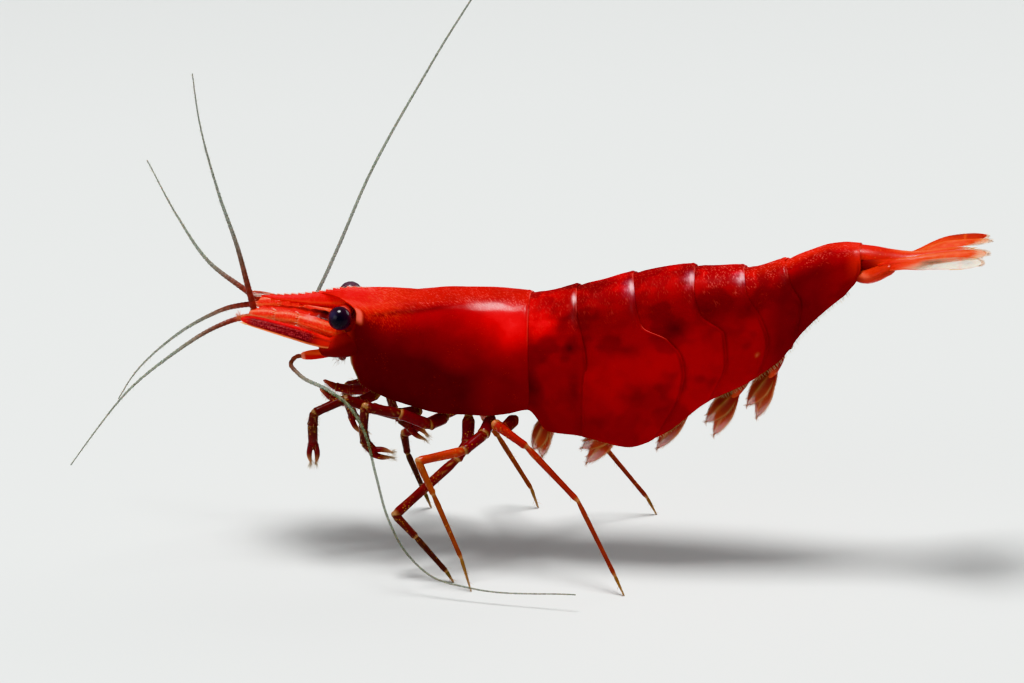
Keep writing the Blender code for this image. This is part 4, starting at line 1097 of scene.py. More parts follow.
rings, share = carried(FACE_LINE, FACE_RADII, 48, 0.90, rows=40)
rings = swollen(rings, 0.05 * ripple(rings, 0.7, 31))
tone = blend(FACE_DARK, FACE_RED, ease(9.6, 10.5, rings[..., 2]))
skins = [closed_skin(rings, tinted(tone, FLESH_DULL))]
rings, share = carried(LEDGE_LINE, LEDGE_RADII, 40, 0.5, rows=40)
rings[..., 2] += 0.03 * ripple(rings, 0.4, 32)
tone = blend(LEDGE_RED, LEDGE_ORANGE, ease(10.0, 10.4, rings[..., 2]))
tone = blend(tone, LEDGE_SHADE, 0.9 * ease(-9.5, -8.7, rings[..., 0]))
skins.append(closed_skin(rings, tinted(tone, FLESH_DULL)))
face = make_piece("head_flesh", skins, carapace_chitin)
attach(face, "root")
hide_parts("carapace")

# The antennules: a stout base of three ribbed articles on each side under the rostrum, then two ringed
# whips. A thin thorn stands beside the first article. The whips are red-brown at the root, grey-green and
# clear beyond.
ANTENNULE_BASE = (
    (-7.7, 0.70, 9.56), (-8.5, 0.80, 9.82), (-9.5, 0.82, 10.16), (-10.6, 0.80, 10.32), (-11.65, 0.76, 10.36),
)
# where each article starts and ends along the base in hundredths, and its radii
BASE_ARTICLES = (
    (0, 52, (0.26, 0.35, 0.36, 0.34, 0.29)),
    (51, 76, (0.26, 0.31, 0.33, 0.27)),
    (75, 99, (0.24, 0.29, 0.30, 0.24)),
)
ANTENNULE_WHIPS = {
    ("upper", -1): (
        (-11.58, 0.68, 10.46), (-11.9, 0.68, 11.8), (-12.16, 0.9, 13.1), (-12.86, 1.7, 16.0),
        (-13.51, 2.5, 19.6), (-13.68, 2.7, 21.4),
    ),
    ("lower", -1): (
        (-11.65, 0.80, 10.30), (-12.5, 0.9, 10.08), (-13.06, 1.1, 9.88), (-14.91, 2.2, 8.87),
        (-16.49, 3.2, 7.66), (-17.84, 4.1, 6.02), (-18.75, 4.65, 4.75),
    ),
    ("upper", 1): (
        (-11.6, 0.70, 10.48), (-12.4, 0.78, 11.0), (-13.71, 1.3, 11.75), (-15.29, 2.25, 13.5),
        (-16.7, 3.2, 15.6),
    ),
    ("lower", 1): (
        (-11.65, 0.78, 10.30), (-12.98, 0.95, 9.96), (-13.88, 1.3, 9.43), (-15.83, 2.3, 7.82),
        (-17.5, 3.1, 5.9), (-18.2, 3.5, 4.7),
    ),
}
# root radii of the whips. The tips are alike
ANTENNULE_RADII = {"upper": 0.15, "lower": 0.13}
ANTENNULE_TIP = 0.028
# length of a ring, how narrow its waist is, rows of points to a ring, how much darker every second one is
ANTENNULE_RING, WAIST, RING_ROWS, RING_SHADE = 0.16, 0.14, 4, 0.22
# the share of the whip over which its root colour fades
ANTENNULE_FADE = 0.45
BASE_DULL, THORN_RADIUS = 0.5, 0.11
BASE_RED, BASE_RIB = colour(232, 44, 20), colour(252, 118, 78)
BASE_RIM, BASE_FOLD = colour(255, 140, 105), colour(170, 10, 8)
BASE_KNOB, BASE_GRAIN_DARK, BASE_GRAIN_PALE = colour(255, 150, 140), colour(170, 10, 6), colour(255, 130, 90)
THORN_RED = colour(232, 56, 30)
WHIP_ROOT, WHIP_FAR = colour(150, 44, 34), colour(122, 132, 104)


def whip(line, root_radius, tip_radius, ring_length, around=8):
    """A ringed feeler: a circle carried along the line, whose radius over the tip's falls as the share left
    to run to the power 1.6, with a narrow waist at each ring. Returns the rings, the share along, and which
    rings of the feeler are the odd ones."""
    length = np.linalg.norm(np.diff(np.array(line, float), axis=0), axis=1).sum()
    rows = int(length / ring_length) * RING_ROWS + 1
    path = smooth_line(line, rows)
    share = np.linspace(0, 1, rows)
    waist = 1 - WAIST * (np.arange(rows) % RING_ROWS == 0)
    radius = (tip_radius + (root_radius - tip_radius) * (1 - share) ** 1.6) * waist
    tangent = unit(np.gradient(path, axis=0))
    out = unit(np.cross(tangent, (0.31, 0.18, 0.93)))
    up = np.cross(tangent, out)
    turn = np.linspace(0, 2 * math.pi, around, endpoint=False)
    circle = out[:, None] * np.cos(turn)[None, :, None] + up[:, None] * np.sin(turn)[None, :, None]
    odd = (np.arange(rows) // RING_ROWS % 2)[:, None] + 0 * turn[None]
    return path[:, None] + circle * radius[:, None, None], share[:, None] + 0 * turn[None], odd


def whip_tint(share, odd, root, far, reach):
    """Root colour fading into the far colour, every second ring a little darker."""
    tone = blend(root, far, ease(0.0, reach, share))
    return tinted(tone * (1 - RING_SHADE * odd)[..., None], 0.2 + 0.5 * ease(0.0, reach, share))


feeler_skin = shell_material(
    "feeler_skin", 0.30, mottle=0.3, speckle=0.35, bump=0.15, soft=0.2, clear_share=0.55
)
for word, side in (("left", -1), ("right", 1)):
    base = smooth_line(sided(ANTENNULE_BASE, side), 101)
    skins = []
    for first, last, radii in BASE_ARTICLES:
        rings, share = carried(base[first : last + 1 : 3], radii, 40, 0.92, rows=40)
        turn = np.linspace(0, 2 * math.pi, 40, endpoint=False)[None] + 0 * share
        rib = 0.5 + 0.5 * np.cos(turn * 6 + 0.6 * np.sin(share * 5))
        rings = swollen(rings, 0.035 * (rib - 0.5) + 0.02 * np.sin(share * 60))
        tone = painted(
            BASE_RED,
            (BASE_RIB, 0.85 * ease(0.45, 0.9, rib)),
            (BASE_RIM, 0.25 * ease(0.95, 1.0, share)),
            (BASE_FOLD, 0.5 * ease(0.06, 0.0, share)),
            (BASE_KNOB, 0.8 * patch(rings[..., 0], rings[..., 2], (-9.15, 10.42), (0.24, 0.13))),
            (BASE_GRAIN_DARK, 0.35 * grainy(share.shape, 14)),
            (BASE_GRAIN_PALE, 0.35 * grainy(share.shape, 15)),
        )
        skins.append(closed_skin(rings, tinted(tone, BASE_DULL)))
    thorn = base[8] + np.array([0, side * 0.30, -0.02])
    skins.append(spine(thorn, base[50] + np.array([0.0, side * 0.42, 0.04]), THORN_RADIUS, THORN_RED))
    antennule = make_piece(f"antennule_{word}_base", skins, carapace_chitin)
    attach(antennule, "root")
    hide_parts(f"antennule_base_{word}")
    for level, root_radius in ANTENNULE_RADII.items():
        line = sided(ANTENNULE_WHIPS[level, side], side)
        rings, share, odd = whip(line, root_radius, ANTENNULE_TIP, ANTENNULE_RING)
        skins = [closed_skin(rings, whip_tint(share, odd, WHIP_ROOT, WHIP_FAR, ANTENNULE_FADE))]
        feeler = make_piece(f"antennule_{level}_{word}_whip", skins, feeler_skin)
        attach(feeler, "root")
        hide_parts(f"antennule_{level}_{word}")

# The antennae: a short stout base under the eye, an outward leaf-like scale with a stiff pale outer edge,
# and one long ringed whip. The left whip hangs under the body, the right one stands up and back.
ANTENNA_BLOCK = ((-7.25, 0.90, 9.28), (-7.75, 1.04, 9.26), (-8.2, 1.12, 9.18), (-8.50, 1.14, 9.10))
ANTENNA_STEM = ((-8.45, 1.12, 8.90), (-8.9, 1.20, 8.85), (-9.42, 1.29, 8.80))
BLOCK_RADII, STEM_RADII = (0.46, 0.54, 0.50, 0.38), (0.19, 0.21, 0.21, 0.17)
ANTENNA_WHIPS = {
    -1: (
        (-9.36, 1.28, 8.80), (-9.74, 1.38, 8.76), (-9.92, 1.60, 8.56), (-9.56, 2.0, 8.26), (-8.2, 2.80, 7.88),
        (-7.3, 3.45, 7.55), (-6.5, 4.2, 6.7), (-5.9, 4.9, 5.0), (-5.36, 5.3, 3.3), (-4.6, 5.5, 1.9),
        (-3.5, 5.7, 0.95), (-1.8, 6.0, 0.62), (2.6, 6.5, 0.75),
    ),
    1: (
        (-9.36, 1.28, 8.80), (-9.76, 1.42, 8.74), (-10.0, 1.85, 8.80), (-9.95, 2.25, 9.3), (-9.5, 2.38, 10.1),
        (-8.57, 2.6, 12.15), (-7.42, 3.6, 14.96), (-4.89, 6.1, 19.6), (-2.3, 8.4, 24.0), (-1.4, 9.1, 26.2),
        (-0.9, 9.6, 28.4),
    ),
}
ANTENNA_ROOT, ANTENNA_TIP, ANTENNA_RING, ANTENNA_FADE = 0.10, 0.032, 0.20, 0.14
SCALE_LINE = (
    (-7.90, 1.12, 9.26), (-8.6, 1.40, 9.50), (-9.75, 1.61, 9.91), (-10.75, 1.66, 10.19), (-11.5, 1.67, 10.37),
    (-12.0, 1.66, 10.46),
)
SCALE_WIDTHS, SCALE_THICK = (0.14, 0.32, 0.36, 0.34, 0.30, 0.22), (0.26, 0.22, 0.17, 0.13, 0.10, 0.06)
SCALE_ROWS, SCALE_AROUND = 190, 96
SCALE_ARCH, SCALE_KEEL = 0.16, 0.35
SCALE_HAIR = colour(224, 120, 84)
# the stretch of the margin that bears hair, how many hairs, their length and lean, and their colour
SCALE_INNER_FRINGE = (0.45, 1.0), 60, 0.34, 0.70, SCALE_HAIR
SCALE_TIP_FRINGE = (0.93, 1.0), 22, 0.60, 0.70, SCALE_HAIR
# the ring at which the outer edge ends in a tooth, and the tooth's radius
TOOTH_ROW, TOOTH_RADIUS = 150, 0.04
STUMP_DULL = 0.7
SCALE_RED, SCALE_DARK, SCALE_FLECK = colour(214, 14, 8), colour(104, 2, 10), colour(222, 96, 96)
SCALE_ROOT, SCALE_EDGE, SCALE_INNER = colour(240, 44, 22), colour(252, 140, 92), colour(200, 120, 96)
SCALE_TOOTH = colour(252, 176, 110)
BLOCK_DARK, BLOCK_RED = colour(104, 2, 3), colour(206, 26, 12)
STEM_RED, STEM_TOP_HIGHLIGHT, STEM_RING = colour(206, 18, 10), colour(255, 110, 70), colour(255, 170, 140)
ANTENNA_WHIP_ROOT = colour(150, 60, 40)

for word, side in (("left", -1), ("right", 1)):
    scale_name = f"antennal_scale_{word}"
    outer_column, inner_column = edge_columns(side, SCALE_AROUND)
    outward = (0, 1, -0.72 * side)
    rings, share, across = leaf(
        sided(SCALE_LINE, side), SCALE_WIDTHS, SCALE_THICK, outward,
        SCALE_ROWS, SCALE_AROUND, SCALE_ARCH, SCALE_KEEL,
    )
    outer = across * side
    specks = ripple(rings * (0.8, 1.2, 1.2), 0.10, 23)
    flecks = 0.3 * ease(0.0, 0.9, specks) + 0.65 * grainy(share.shape, 18, 0.74)
    band = ease(-0.55, -0.1, outer) * ease(0.92, 0.6, outer)
    tone = painted(
        SCALE_RED,
        (SCALE_DARK, ease(-0.7, -0.1, outer) * ease(0.12, 0.34, share) * ease(0.98, 0.86, share)),
        (SCALE_FLECK, flecks * band * ease(0.2, 0.35, share) * ease(0.95, 0.85, share)),
        (SCALE_ROOT, 0.8 * ease(0.34, 0.16, share)),
        (SCALE_EDGE, 0.95 * ease(0.82, 0.92, outer)),
        (SCALE_INNER, 0.5 * ease(-0.86, -0.98, outer)),
    )
    clear = 0.4 * ease(-0.6, -0.95, outer) + 0.2 * ease(0.8, 1.0, share)
    skins = [closed_skin(rings, tinted(tone, clear))]
    tooth = rings[TOOTH_ROW, outer_column]
    root, tip = tooth + np.array([0.1, 0, -0.03]), tooth + np.array([-0.24, 0, 0.05])
    skins.append(spine(root, tip, TOOTH_RADIUS, SCALE_TOOTH))
    fringe(scale_name, "head_limb", rings, inner_column, *SCALE_INNER_FRINGE)
    fringe(scale_name, "head_limb", rings, outer_column, *SCALE_TIP_FRINGE)
    scale = make_piece(f"{scale_name}_leaf", skins, fan_chitin)
    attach(scale, "root")
    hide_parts(scale_name)

    rings, share = carried(sided(ANTENNA_BLOCK, side), BLOCK_RADII, 36, 0.95, rows=34)
    tone = blend(BLOCK_DARK, BLOCK_RED, ease(9.10, 9.75, rings[..., 2] - 0.4 * (rings[..., 0] + 8.2)))
    skins = [closed_skin(rings, tinted(tone, STUMP_DULL))]
    rings, share = carried(sided(ANTENNA_STEM, side), STEM_RADII, 36, 0.95, rows=34)
    # a painted highlight along the stem's upper side
    tone = blend(STEM_RED, STEM_TOP_HIGHLIGHT, 0.8 * ease(8.85, 8.98, rings[..., 2]))
    tone = blend(tone, STEM_RING, 0.6 * ease(0.90, 1.0, share))
    skins.append(closed_skin(rings, tinted(tone, STUMP_DULL)))
    stump = make_piece(f"antenna_{word}_base", skins, carapace_chitin)
    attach(stump, "root")
    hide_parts(f"antenna_base_{word}")

    rings, share, odd = whip(sided(ANTENNA_WHIPS[side], side), ANTENNA_ROOT, ANTENNA_TIP, ANTENNA_RING)
    skins = [closed_skin(rings, whip_tint(share, odd, ANTENNA_WHIP_ROOT, WHIP_FAR, ANTENNA_FADE))]
    antenna = make_piece(f"antenna_{word}_whip", skins, feeler_skin)
    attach(antenna, "root")
    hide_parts(f"antenna_{word}")

# The mouthparts: a soft lip between curved jaws and leaf-like feeding limbs, one behind another, hidden in
# hair. They are flattened tubes of dark red chitin that hang from the underside of the head.
LIP_LINE = ((-8.0, 0, 9.2), (-8.14, 0, 8.8), (-8.18, 0, 8.45))
LIP_RADII = (0.30, 0.30, 0.18)
MOUTH_DULL = 0.5
# how far each pair of feeding limbs lies behind the first, and its greatest radius
FEEDING_LIMBS = ((0.0, 0.24), (0.16, 0.22), (0.30, 0.20))
MOUTH_DARK, LIP_RED, MOUTH_RED = colour(96, 3, 5), colour(160, 24, 18), colour(150, 24, 16)

rings, share = carried(LIP_LINE, LIP_RADII, 24, 0.8, rows=16)
skins = [closed_skin(rings, tinted(blend(MOUTH_DARK, LIP_RED, 0.5 * share), MOUTH_DULL))]
for side in (-1, 1):
    for step, (back, width) in enumerate(FEEDING_LIMBS):
        line = (
            (-7.85 + back, 0.40, 9.2),
            (-7.95 + back * 0.6, 0.50, 8.8),
            (-8.03 + back * 0.4, 0.38, 8.58 - step * 0.06),
            (-8.12 + back * 0.2, 0.20, 8.44 - step * 0.03),
        )
        radii = (0.16, width, width * 0.8, 0.08)
        rings, share = carried(sided(line, side), radii, 20, 0.5, wide=(0.5, 0.8 * side, 0.1), rows=22)
        tone = blend(MOUTH_DARK, MOUTH_RED, 0.6 * ease(0.5, 1.0, share))
        skins.append(closed_skin(rings, tinted(tone, MOUTH_DULL)))
mouth = make_piece("mouth_limbs", skins, carapace_chitin)
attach(mouth, "root")
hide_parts("mouthparts")


# The maxillipeds: the hindmost pair of mouth limbs, slim and leg-like, which reach forward under the mouth.
# Like the legs they are a row of thin tubes of chitin with a soft pale joint between each two.
def article(start, end, start_radius, end_radius):
    """One article of a limb: a tube from joint to joint, narrow where it enters the last one, a little
    swollen before its far end, where a collar stands round the next joint."""
    start, end = np.array(start, float), np.array(end, float)
    way = unit(end - start)
    share = np.linspace(0, 1, ARTICLE_ROWS)
    line = start + (end - start) * share[:, None]
    radius = start_radius + (end_radius - start_radius) * share
    neck, swell, collar = ease(0.0, 0.16, share), ease(0.75, 0.94, share), ease(0.95, 1.0, share)
    radius = radius * (0.72 + 0.28 * neck) * (1 + 0.10 * swell) * (1 - 0.25 * collar)
    wide = (0.0, 1.0, 0.0) if abs(way[1]) < 0.9 else (1.0, 0.0, 0.0)
    return carried(line, radius, ARTICLE_AROUND, wide=wide, rows=ARTICLE_ROWS)


def limb(joints, radii, tones, tip_tone):
    """A jointed limb: one article between each two joints, in its own colour, with a pale ring at each
    joint. The last one fades into the tip's colour and grows clearer."""
    made = []
    last = len(joints) - 2
    for step in range(len(joints) - 1):
        overlap = unit(np.array(joints[step]) - np.array(joints[step + 1])) * radii[step] * 0.35
        rings, share = article(joints[step] + overlap, joints[step + 1], radii[step], radii[step + 1])
        tone = painted(
            tones[step],
            (JOINT_PALE, 0.4 * ease(0.05, 0.0, share) + 0.5 * ease(0.965, 0.99, share)),
            (JOINT_PALE, 0.5 * grainy(share.shape, 40 + step, 0.8) * ease(0.4, 0.0, share)),
        )
        clear = 0.0
        if step == last:
            tone = blend(tone, tip_tone, ease(0.2, 1.0, share))
            clear = 0.5 * ease(0.3, 1.0, share)
        rings[..., 2] = np.maximum(rings[..., 2], LIMB_LOWEST)
        made.append(closed_skin(rings, tinted(tone, clear)))
    return made


ARTICLE_ROWS, ARTICLE_AROUND = 18, 16
LIMB_LOWEST = 0.004
# maroon, partly painted shade where the limbs' roots lie under the carapace
LIMB_MAROON_AND_SHADE = colour(112, 8, 12)
JOINT_PALE = colour(226, 170, 110)
MAXILLIPED = (
    (-6.5, 0.55, 6.95), (-7.1, 0.70, 6.66), (-7.8, 0.74, 6.60), (-8.4, 0.64, 6.76), (-8.85, 0.52, 7.06),
)
MAXILLIPED_RADII = (0.24, 0.22, 0.20, 0.17, 0.06)
MAXILLIPED_TONES = (LIMB_MAROON_AND_SHADE, LIMB_MAROON_AND_SHADE, colour(120, 14, 10), colour(126, 18, 12))
MAXILLIPED_TIP = colour(170, 70, 40)
limb_skin = shell_material(
    "limb_skin",
    0.24,
    mottle=0.35,
    speckle=0.75,
    bump=0.22,
    soft=0.2,
    pitch=1.6,
    clear_share=0.45,
    speckle_colour=(246, 170, 70),
)
for word, side in (("left", -1), ("right", 1)):
    skins = limb(sided(MAXILLIPED, side), MAXILLIPED_RADII, MAXILLIPED_TONES, MAXILLIPED_TIP)
    maxilliped = make_piece(f"maxilliped_{word}_limb", skins, limb_skin)
    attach(maxilliped, "root")
    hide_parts(f"maxilliped_{word}")

# The legs: two pairs end in tiny brush-tipped pincers held under the head, three pairs walk on single sharp
# claws. The forward ones are maroon, partly their own colour and partly painted shade under the carapace,
# the hinder ones orange and red, dusted with golden pigment and pale at each joint.
CLAWED_LEGS = (1, 2)
# x, outward y and height of each joint, from the body to the tip, for each pair and side
LEG_JOINTS = {
    (1, -1): (
        (-4.75, 0.85, 6.35), (-5.5, 1.15, 6.3), (-6.55, 1.55, 6.7), (-7.65, 1.85, 7.15), (-8.86, 2.3, 6.65),
        (-8.93, 2.3, 6.1), (-8.91, 2.3, 5.15),
    ),
    (2, -1): (
        (-3.6, 0.9, 6.15), (-4.15, 1.5, 6.05), (-5.3, 2.05, 6.7), (-6.68, 2.55, 7.1), (-6.76, 2.55, 6.1),
        (-6.68, 2.5, 5.5), (-6.3, 2.5, 5.1),
    ),
    (3, -1): (
        (-2.55, 0.95, 6.15), (-2.5, 1.6, 5.35), (-2.9, 2.15, 4.8), (-5.31, 3.5, 2.73), (-4.41, 3.7, 1.86),
        (-3.1, 3.9, 0.45), (-2.8, 3.95, 0.0),
    ),
    (4, -1): (
        (-1.6, 1.05, 6.2), (-1.8, 2.0, 5.9), (-2.5, 2.95, 5.5), (-4.27, 3.95, 5.35), (-3.6, 4.22, 4.0),
        (-2.39, 4.7, 1.42), (-1.95, 4.85, 0.0),
    ),
    (5, -1): (
        (-0.65, 1.1, 6.25), (-0.95, 1.8, 6.1), (-1.2, 2.6, 6.6), (0.1, 2.8, 5.76), (2.35, 3.6, 3.76),
        (4.0, 4.4, 0.8), (4.4, 4.55, 0.0),
    ),
    (1, 1): (
        (-4.75, 0.85, 6.35), (-5.4, 1.2, 6.25), (-6.3, 1.5, 6.4), (-7.2, 1.75, 6.65), (-8.1, 2.0, 6.3),
        (-8.1, 1.95, 5.75), (-7.8, 1.85, 4.95),
    ),
    (2, 1): (
        (-3.6, 0.9, 6.15), (-4.1, 1.5, 5.9), (-5.2, 2.1, 6.05), (-6.4, 2.6, 5.9), (-6.2, 2.6, 5.1),
        (-5.9, 2.55, 4.7), (-5.4, 2.5, 4.35),
    ),
    (3, 1): (
        (-2.55, 0.95, 6.15), (-2.7, 1.6, 5.75), (-3.3, 2.4, 5.4), (-5.9, 3.5, 3.7), (-5.8, 3.8, 2.7),
        (-5.1, 4.25, 0.7), (-4.85, 4.35, 0.0),
    ),
    (4, 1): (
        (-1.6, 1.05, 6.2), (-1.55, 1.75, 5.95), (-1.6, 2.6, 5.6), (-2.6, 4.2, 4.4), (-2.0, 4.5, 3.4),
        (-0.6, 4.85, 0.9), (-0.3, 4.9, 0.0),
    ),
    (5, 1): (
        (-0.65, 1.1, 6.25), (-0.3, 1.8, 6.1), (0.5, 2.6, 5.75), (1.5, 3.7, 4.6), (2.3, 4.0, 3.7),
        (4.4, 4.65, 0.8), (4.8, 4.75, 0.0),
    ),
}
# the ways that the pincers point
CLAW_WAYS = {
    (1, -1): (0, 0, -1), (2, -1): (0.9, 0.1, -0.15), (1, 1): (0.55, -0.15, -0.8), (2, 1): (0.8, -0.1, -0.5),
}
# the pincer legs' dark tones are partly their own maroon and partly painted shade under the carapace
CLAWED_SHADED_TONES = (
    LIMB_MAROON_AND_SHADE, LIMB_MAROON_AND_SHADE, colour(92, 10, 10), colour(84, 12, 10), colour(80, 14, 10), colour(76, 18, 10),
)
LEG_TONES = {
    1: CLAWED_SHADED_TONES,
    2: CLAWED_SHADED_TONES,
    3: (
        LIMB_MAROON_AND_SHADE, LIMB_MAROON_AND_SHADE, colour(104, 12, 10), colour(78, 14, 8), colour(64, 20, 10),
        colour(90, 70, 34),
    ),
    4: (
        LIMB_MAROON_AND_SHADE, LIMB_MAROON_AND_SHADE, colour(180, 50, 15), colour(160, 66, 18), colour(138, 56, 18),
        colour(140, 96, 46),
    ),
    5: (
        LIMB_MAROON_AND_SHADE, colour(150, 22, 11), colour(170, 27, 13), colour(150, 32, 13), colour(136, 40, 17),
        colour(140, 96, 46),
    ),
}
CLAW_PALE = colour(200, 150, 110)
TIP_CLEAR = colour(176, 140, 92)
CLAWED_RADII = (0.27, 0.25, 0.22, 0.21, 0.18, 0.22, 0.20)
LEG_RADII = {
    1: CLAWED_RADII,
    2: CLAWED_RADII,
    3: (0.28, 0.25, 0.21, 0.19, 0.14, 0.10, 0.03),
    4: (0.28, 0.25, 0.21, 0.17, 0.12, 0.09, 0.03),
    5: (0.28, 0.25, 0.21, 0.15, 0.11, 0.085, 0.03),
}
FINGER_RADII = (0.13, 0.115, 0.03)
CLAW_SPINES, CLAW_SPINE = 6, 0.014


def claw_ways(leg):
    """The way that a leg's pincer points, and the way across it that its two fingers stand apart."""
    way = unit(np.array(CLAW_WAYS[leg], float))
    return way, unit(np.cross(way, (0.0, 1.0, 0.0)))


for (number, side), joints in LEG_JOINTS.items():
    word = "left" if side < 0 else "right"
    joints = sided(joints, side)
    wrist, end = joints[-2], joints[-1]
    tip_tone = LIMB_MAROON_AND_SHADE if number in CLAWED_LEGS else TIP_CLEAR
    skins = limb(joints, LEG_RADII[number], LEG_TONES[number], tip_tone)
    if number in CLAWED_LEGS:
        way, apart = claw_ways((number, side))
        for turn in (-1, 1):
            root = end - way * 0.1 + apart * turn * 0.10
            line = (root, end + way * 0.34 + apart * turn * 0.17, end + way * 0.78 + apart * turn * 0.10)
            rings, share = carried(line, FINGER_RADII, 14, rows=16)
            tone = blend(LIMB_MAROON_AND_SHADE, CLAW_PALE, ease(0.35, 1.0, share))
            skins.append(closed_skin(rings, tinted(tone, 0.4 * ease(0.5, 1.0, share))))
    else:
        for share in np.linspace(0.25, 0.9, CLAW_SPINES):
            root = wrist + (end - wrist) * share
            skins.append(spine(root, root + np.array([0.05, 0, -0.04]), CLAW_SPINE, TIP_CLEAR))
    leg = make_piece(f"leg_{number}_{word}_limb", skins, limb_skin)
    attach(leg, "root")
    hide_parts(f"leg_{number}_{word}")

# The swimmerets: five pairs of paddles under the tail, each a short stem with two thin leaves edged with
# hair. They lie forward under the body, brownish red and see-through, with paler lines along them.
SWIMMERET_ROOT_Y = 0.46
SWIMMERET_STEM, PADDLE_STEM_RADII = 0.55, (0.2, 0.25, 0.24, 0.18)
# root x, leaf length, forward slant in degrees
SWIMMERETS = ((0.75, 1.4, 15), (4.1, 2.1, 48), (6.9, 2.2, 42), (8.85, 2.0, 34), (10.3, 2.0, 26))
# how many degrees each leaf turns off the stem, and its share of the leaf length
PADDLE_LEAVES = ((-9, 1.0), (9, 0.86))
PADDLE_WIDTHS, PADDLE_THICK = (0.12, 0.34, 0.42, 0.32, 0.08), (0.16, 0.13, 0.10, 0.05)
PADDLE_ROWS, PADDLE_AROUND = 36, 32
PADDLE_ARCH, PADDLE_KEEL = 0.15, 0.4
PADDLE_STEM_DARK, PADDLE_STEM_RED = colour(150, 14, 10), colour(214, 70, 34)
PADDLE_BROWN, PADDLE_ORANGE, PADDLE_LINE = colour(150, 24, 10), colour(196, 70, 22), colour(236, 186, 130)
PADDLE_FRINGE = (0.15, 1.0), 22, 0.30, 0.75, colour(214, 150, 110)


def hung(angle):
    """The way down and forward at that angle off the upright."""
    return np.array([-math.sin(angle), 0, -math.cos(angle)])


paddle_skin = shell_material(
    "paddle_skin", 0.28, mottle=0.4, speckle=0.35, bump=0.25, soft=0.3, clear_share=0.5
)
for number, (root_x, length, slant) in enumerate(SWIMMERETS, 1):
    for word, side in (("left", -1), ("right", 1)):
        pleopod_name = f"pleopod_{number}_{word}"
        edge_z = through(BODY_STATIONS, [root_x])[0, 2]
        depth = through(BODY_HOLLOW, [root_x])[0, 0]
        root = np.array([root_x, side * SWIMMERET_ROOT_Y, edge_z + depth * 0.9 - PLATE_GAP])
        angle = math.radians(slant)
        way = hung(angle)
        knee = root + way * SWIMMERET_STEM
        line = (root - way * 0.35, root, knee, knee + way * 0.08)
        rings, share = carried(line, PADDLE_STEM_RADII, 20, 0.8, rows=18)
        skins = [closed_skin(rings, tinted(blend(PADDLE_STEM_DARK, PADDLE_STEM_RED, ease(0.2, 1.0, share))))]
        for turn, part in PADDLE_LEAVES:
            run = hung(angle + math.radians(turn)) * length * part
            line = (knee - way * 0.2, knee + run * 0.3, knee + run * 0.68, knee + run)
            outward = (0.8, 0.6 * side, -0.3)
            rings, share, across = leaf(
                line, PADDLE_WIDTHS, PADDLE_THICK, outward,
                PADDLE_ROWS, PADDLE_AROUND, PADDLE_ARCH, PADDLE_KEEL,
            )
            stripe = hump(across, 0, 0.16) + 0.8 * ease(0.8, 0.95, np.abs(across))
            tone = painted(
                PADDLE_BROWN,
                (PADDLE_ORANGE, ease(0.1, 0.9, share)),
                (PADDLE_LINE, 0.7 * np.clip(stripe, 0, 1) * ease(0.1, 0.4, share)),
            )
            skins.append(closed_skin(rings, tinted(tone, 0.35 + 0.5 * ease(0.4, 1.0, share))))
            for column in (0, PADDLE_AROUND // 2):
                fringe(pleopod_name, "swimmeret", rings, column, *PADDLE_FRINGE)
        paddle = make_piece(f"swimmeret_{number}_{word}", skins, paddle_skin)
        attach(paddle, "root")
        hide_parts(pleopod_name)


# The hair: fine pale bristles of chitin on the free margins of the leaves, the pincers, the snout and the
# plates. Each is a slim bent cone rooted in the piece that it grows from.
BRISTLE_POINTS = 10
BRISTLE_CLEAR = 0.35
HAIR_LOWEST = 0.01
# along a bristle: the shares at which its three rings lie, and how thick it is there
BRISTLE_SHARES, BRISTLE_WIDTHS = (0.0, 0.45, 0.8), (1.0, 0.72, 0.42)
# side of the small patch of its piece's unwrap that each bristle keeps to
PATCH_SIDE = 0.003


def bristles(roots, ways, lengths, radius, droop, tint, place):
    """Many bristles at once: each is a three-sided cone of three rings and a tip along root + way t + droop
    t squared, bent flat where it would reach the floor. place is each root's spot on an unwrap of its
    piece."""
    roots, ways = np.asarray(roots, float), unit(np.asarray(ways, float))
    count = len(roots)
    lengths = np.broadcast_to(np.asarray(lengths, float), (count,))[:, None]
    side = unit(np.cross(ways, (0.36, 0.48, 0.80)))
    up = np.cross(ways, side)
    parts = []
    for share, width in zip(BRISTLE_SHARES, BRISTLE_WIDTHS):
        centre = roots + (ways * share + np.asarray(droop) * share**2) * lengths
        for turn in (0, 2 * math.pi / 3, 4 * math.pi / 3):
            parts.append(centre + (side * math.cos(turn) + up * math.sin(turn)) * radius * width)
    parts.append(roots + (ways + np.asarray(droop)) * lengths)
    points = np.stack(parts, axis=1)
    points[..., 2] = np.maximum(points[..., 2], HAIR_LOWEST)
    one = [[a + k, a + (k + 1) % 3, a + 3 + (k + 1) % 3, a + 3 + k] for a in (0, 3) for k in range(3)]
    ends = [[6 + k, 6 + (k + 1) % 3, 9] for k in range(3)] + [[2, 1, 0]]
    start = (np.arange(count) * BRISTLE_POINTS)[:, None, None]
    quads = (np.array(one)[None] + start).reshape(-1, 4)
    fans = (np.array(ends)[None] + start).reshape(-1, 3)
    tone = np.broadcast_to(np.append(tint, BRISTLE_CLEAR), (count * BRISTLE_POINTS, 4))
    up_patch = np.repeat(BRISTLE_SHARES + (1.0,), (3, 3, 3, 1))
    across_patch = np.array([0, 0.5, 1] * 3 + [0.5])
    spots = np.asarray(place)[:, None] + np.stack([up_patch, across_patch], axis=-1)[None] * PATCH_SIDE
    points, spots = points.reshape(-1, 3), spots.reshape(-1, 2)
    return {"points": points, "faces": [quads, fans], "tint": tone, "spots": spots}


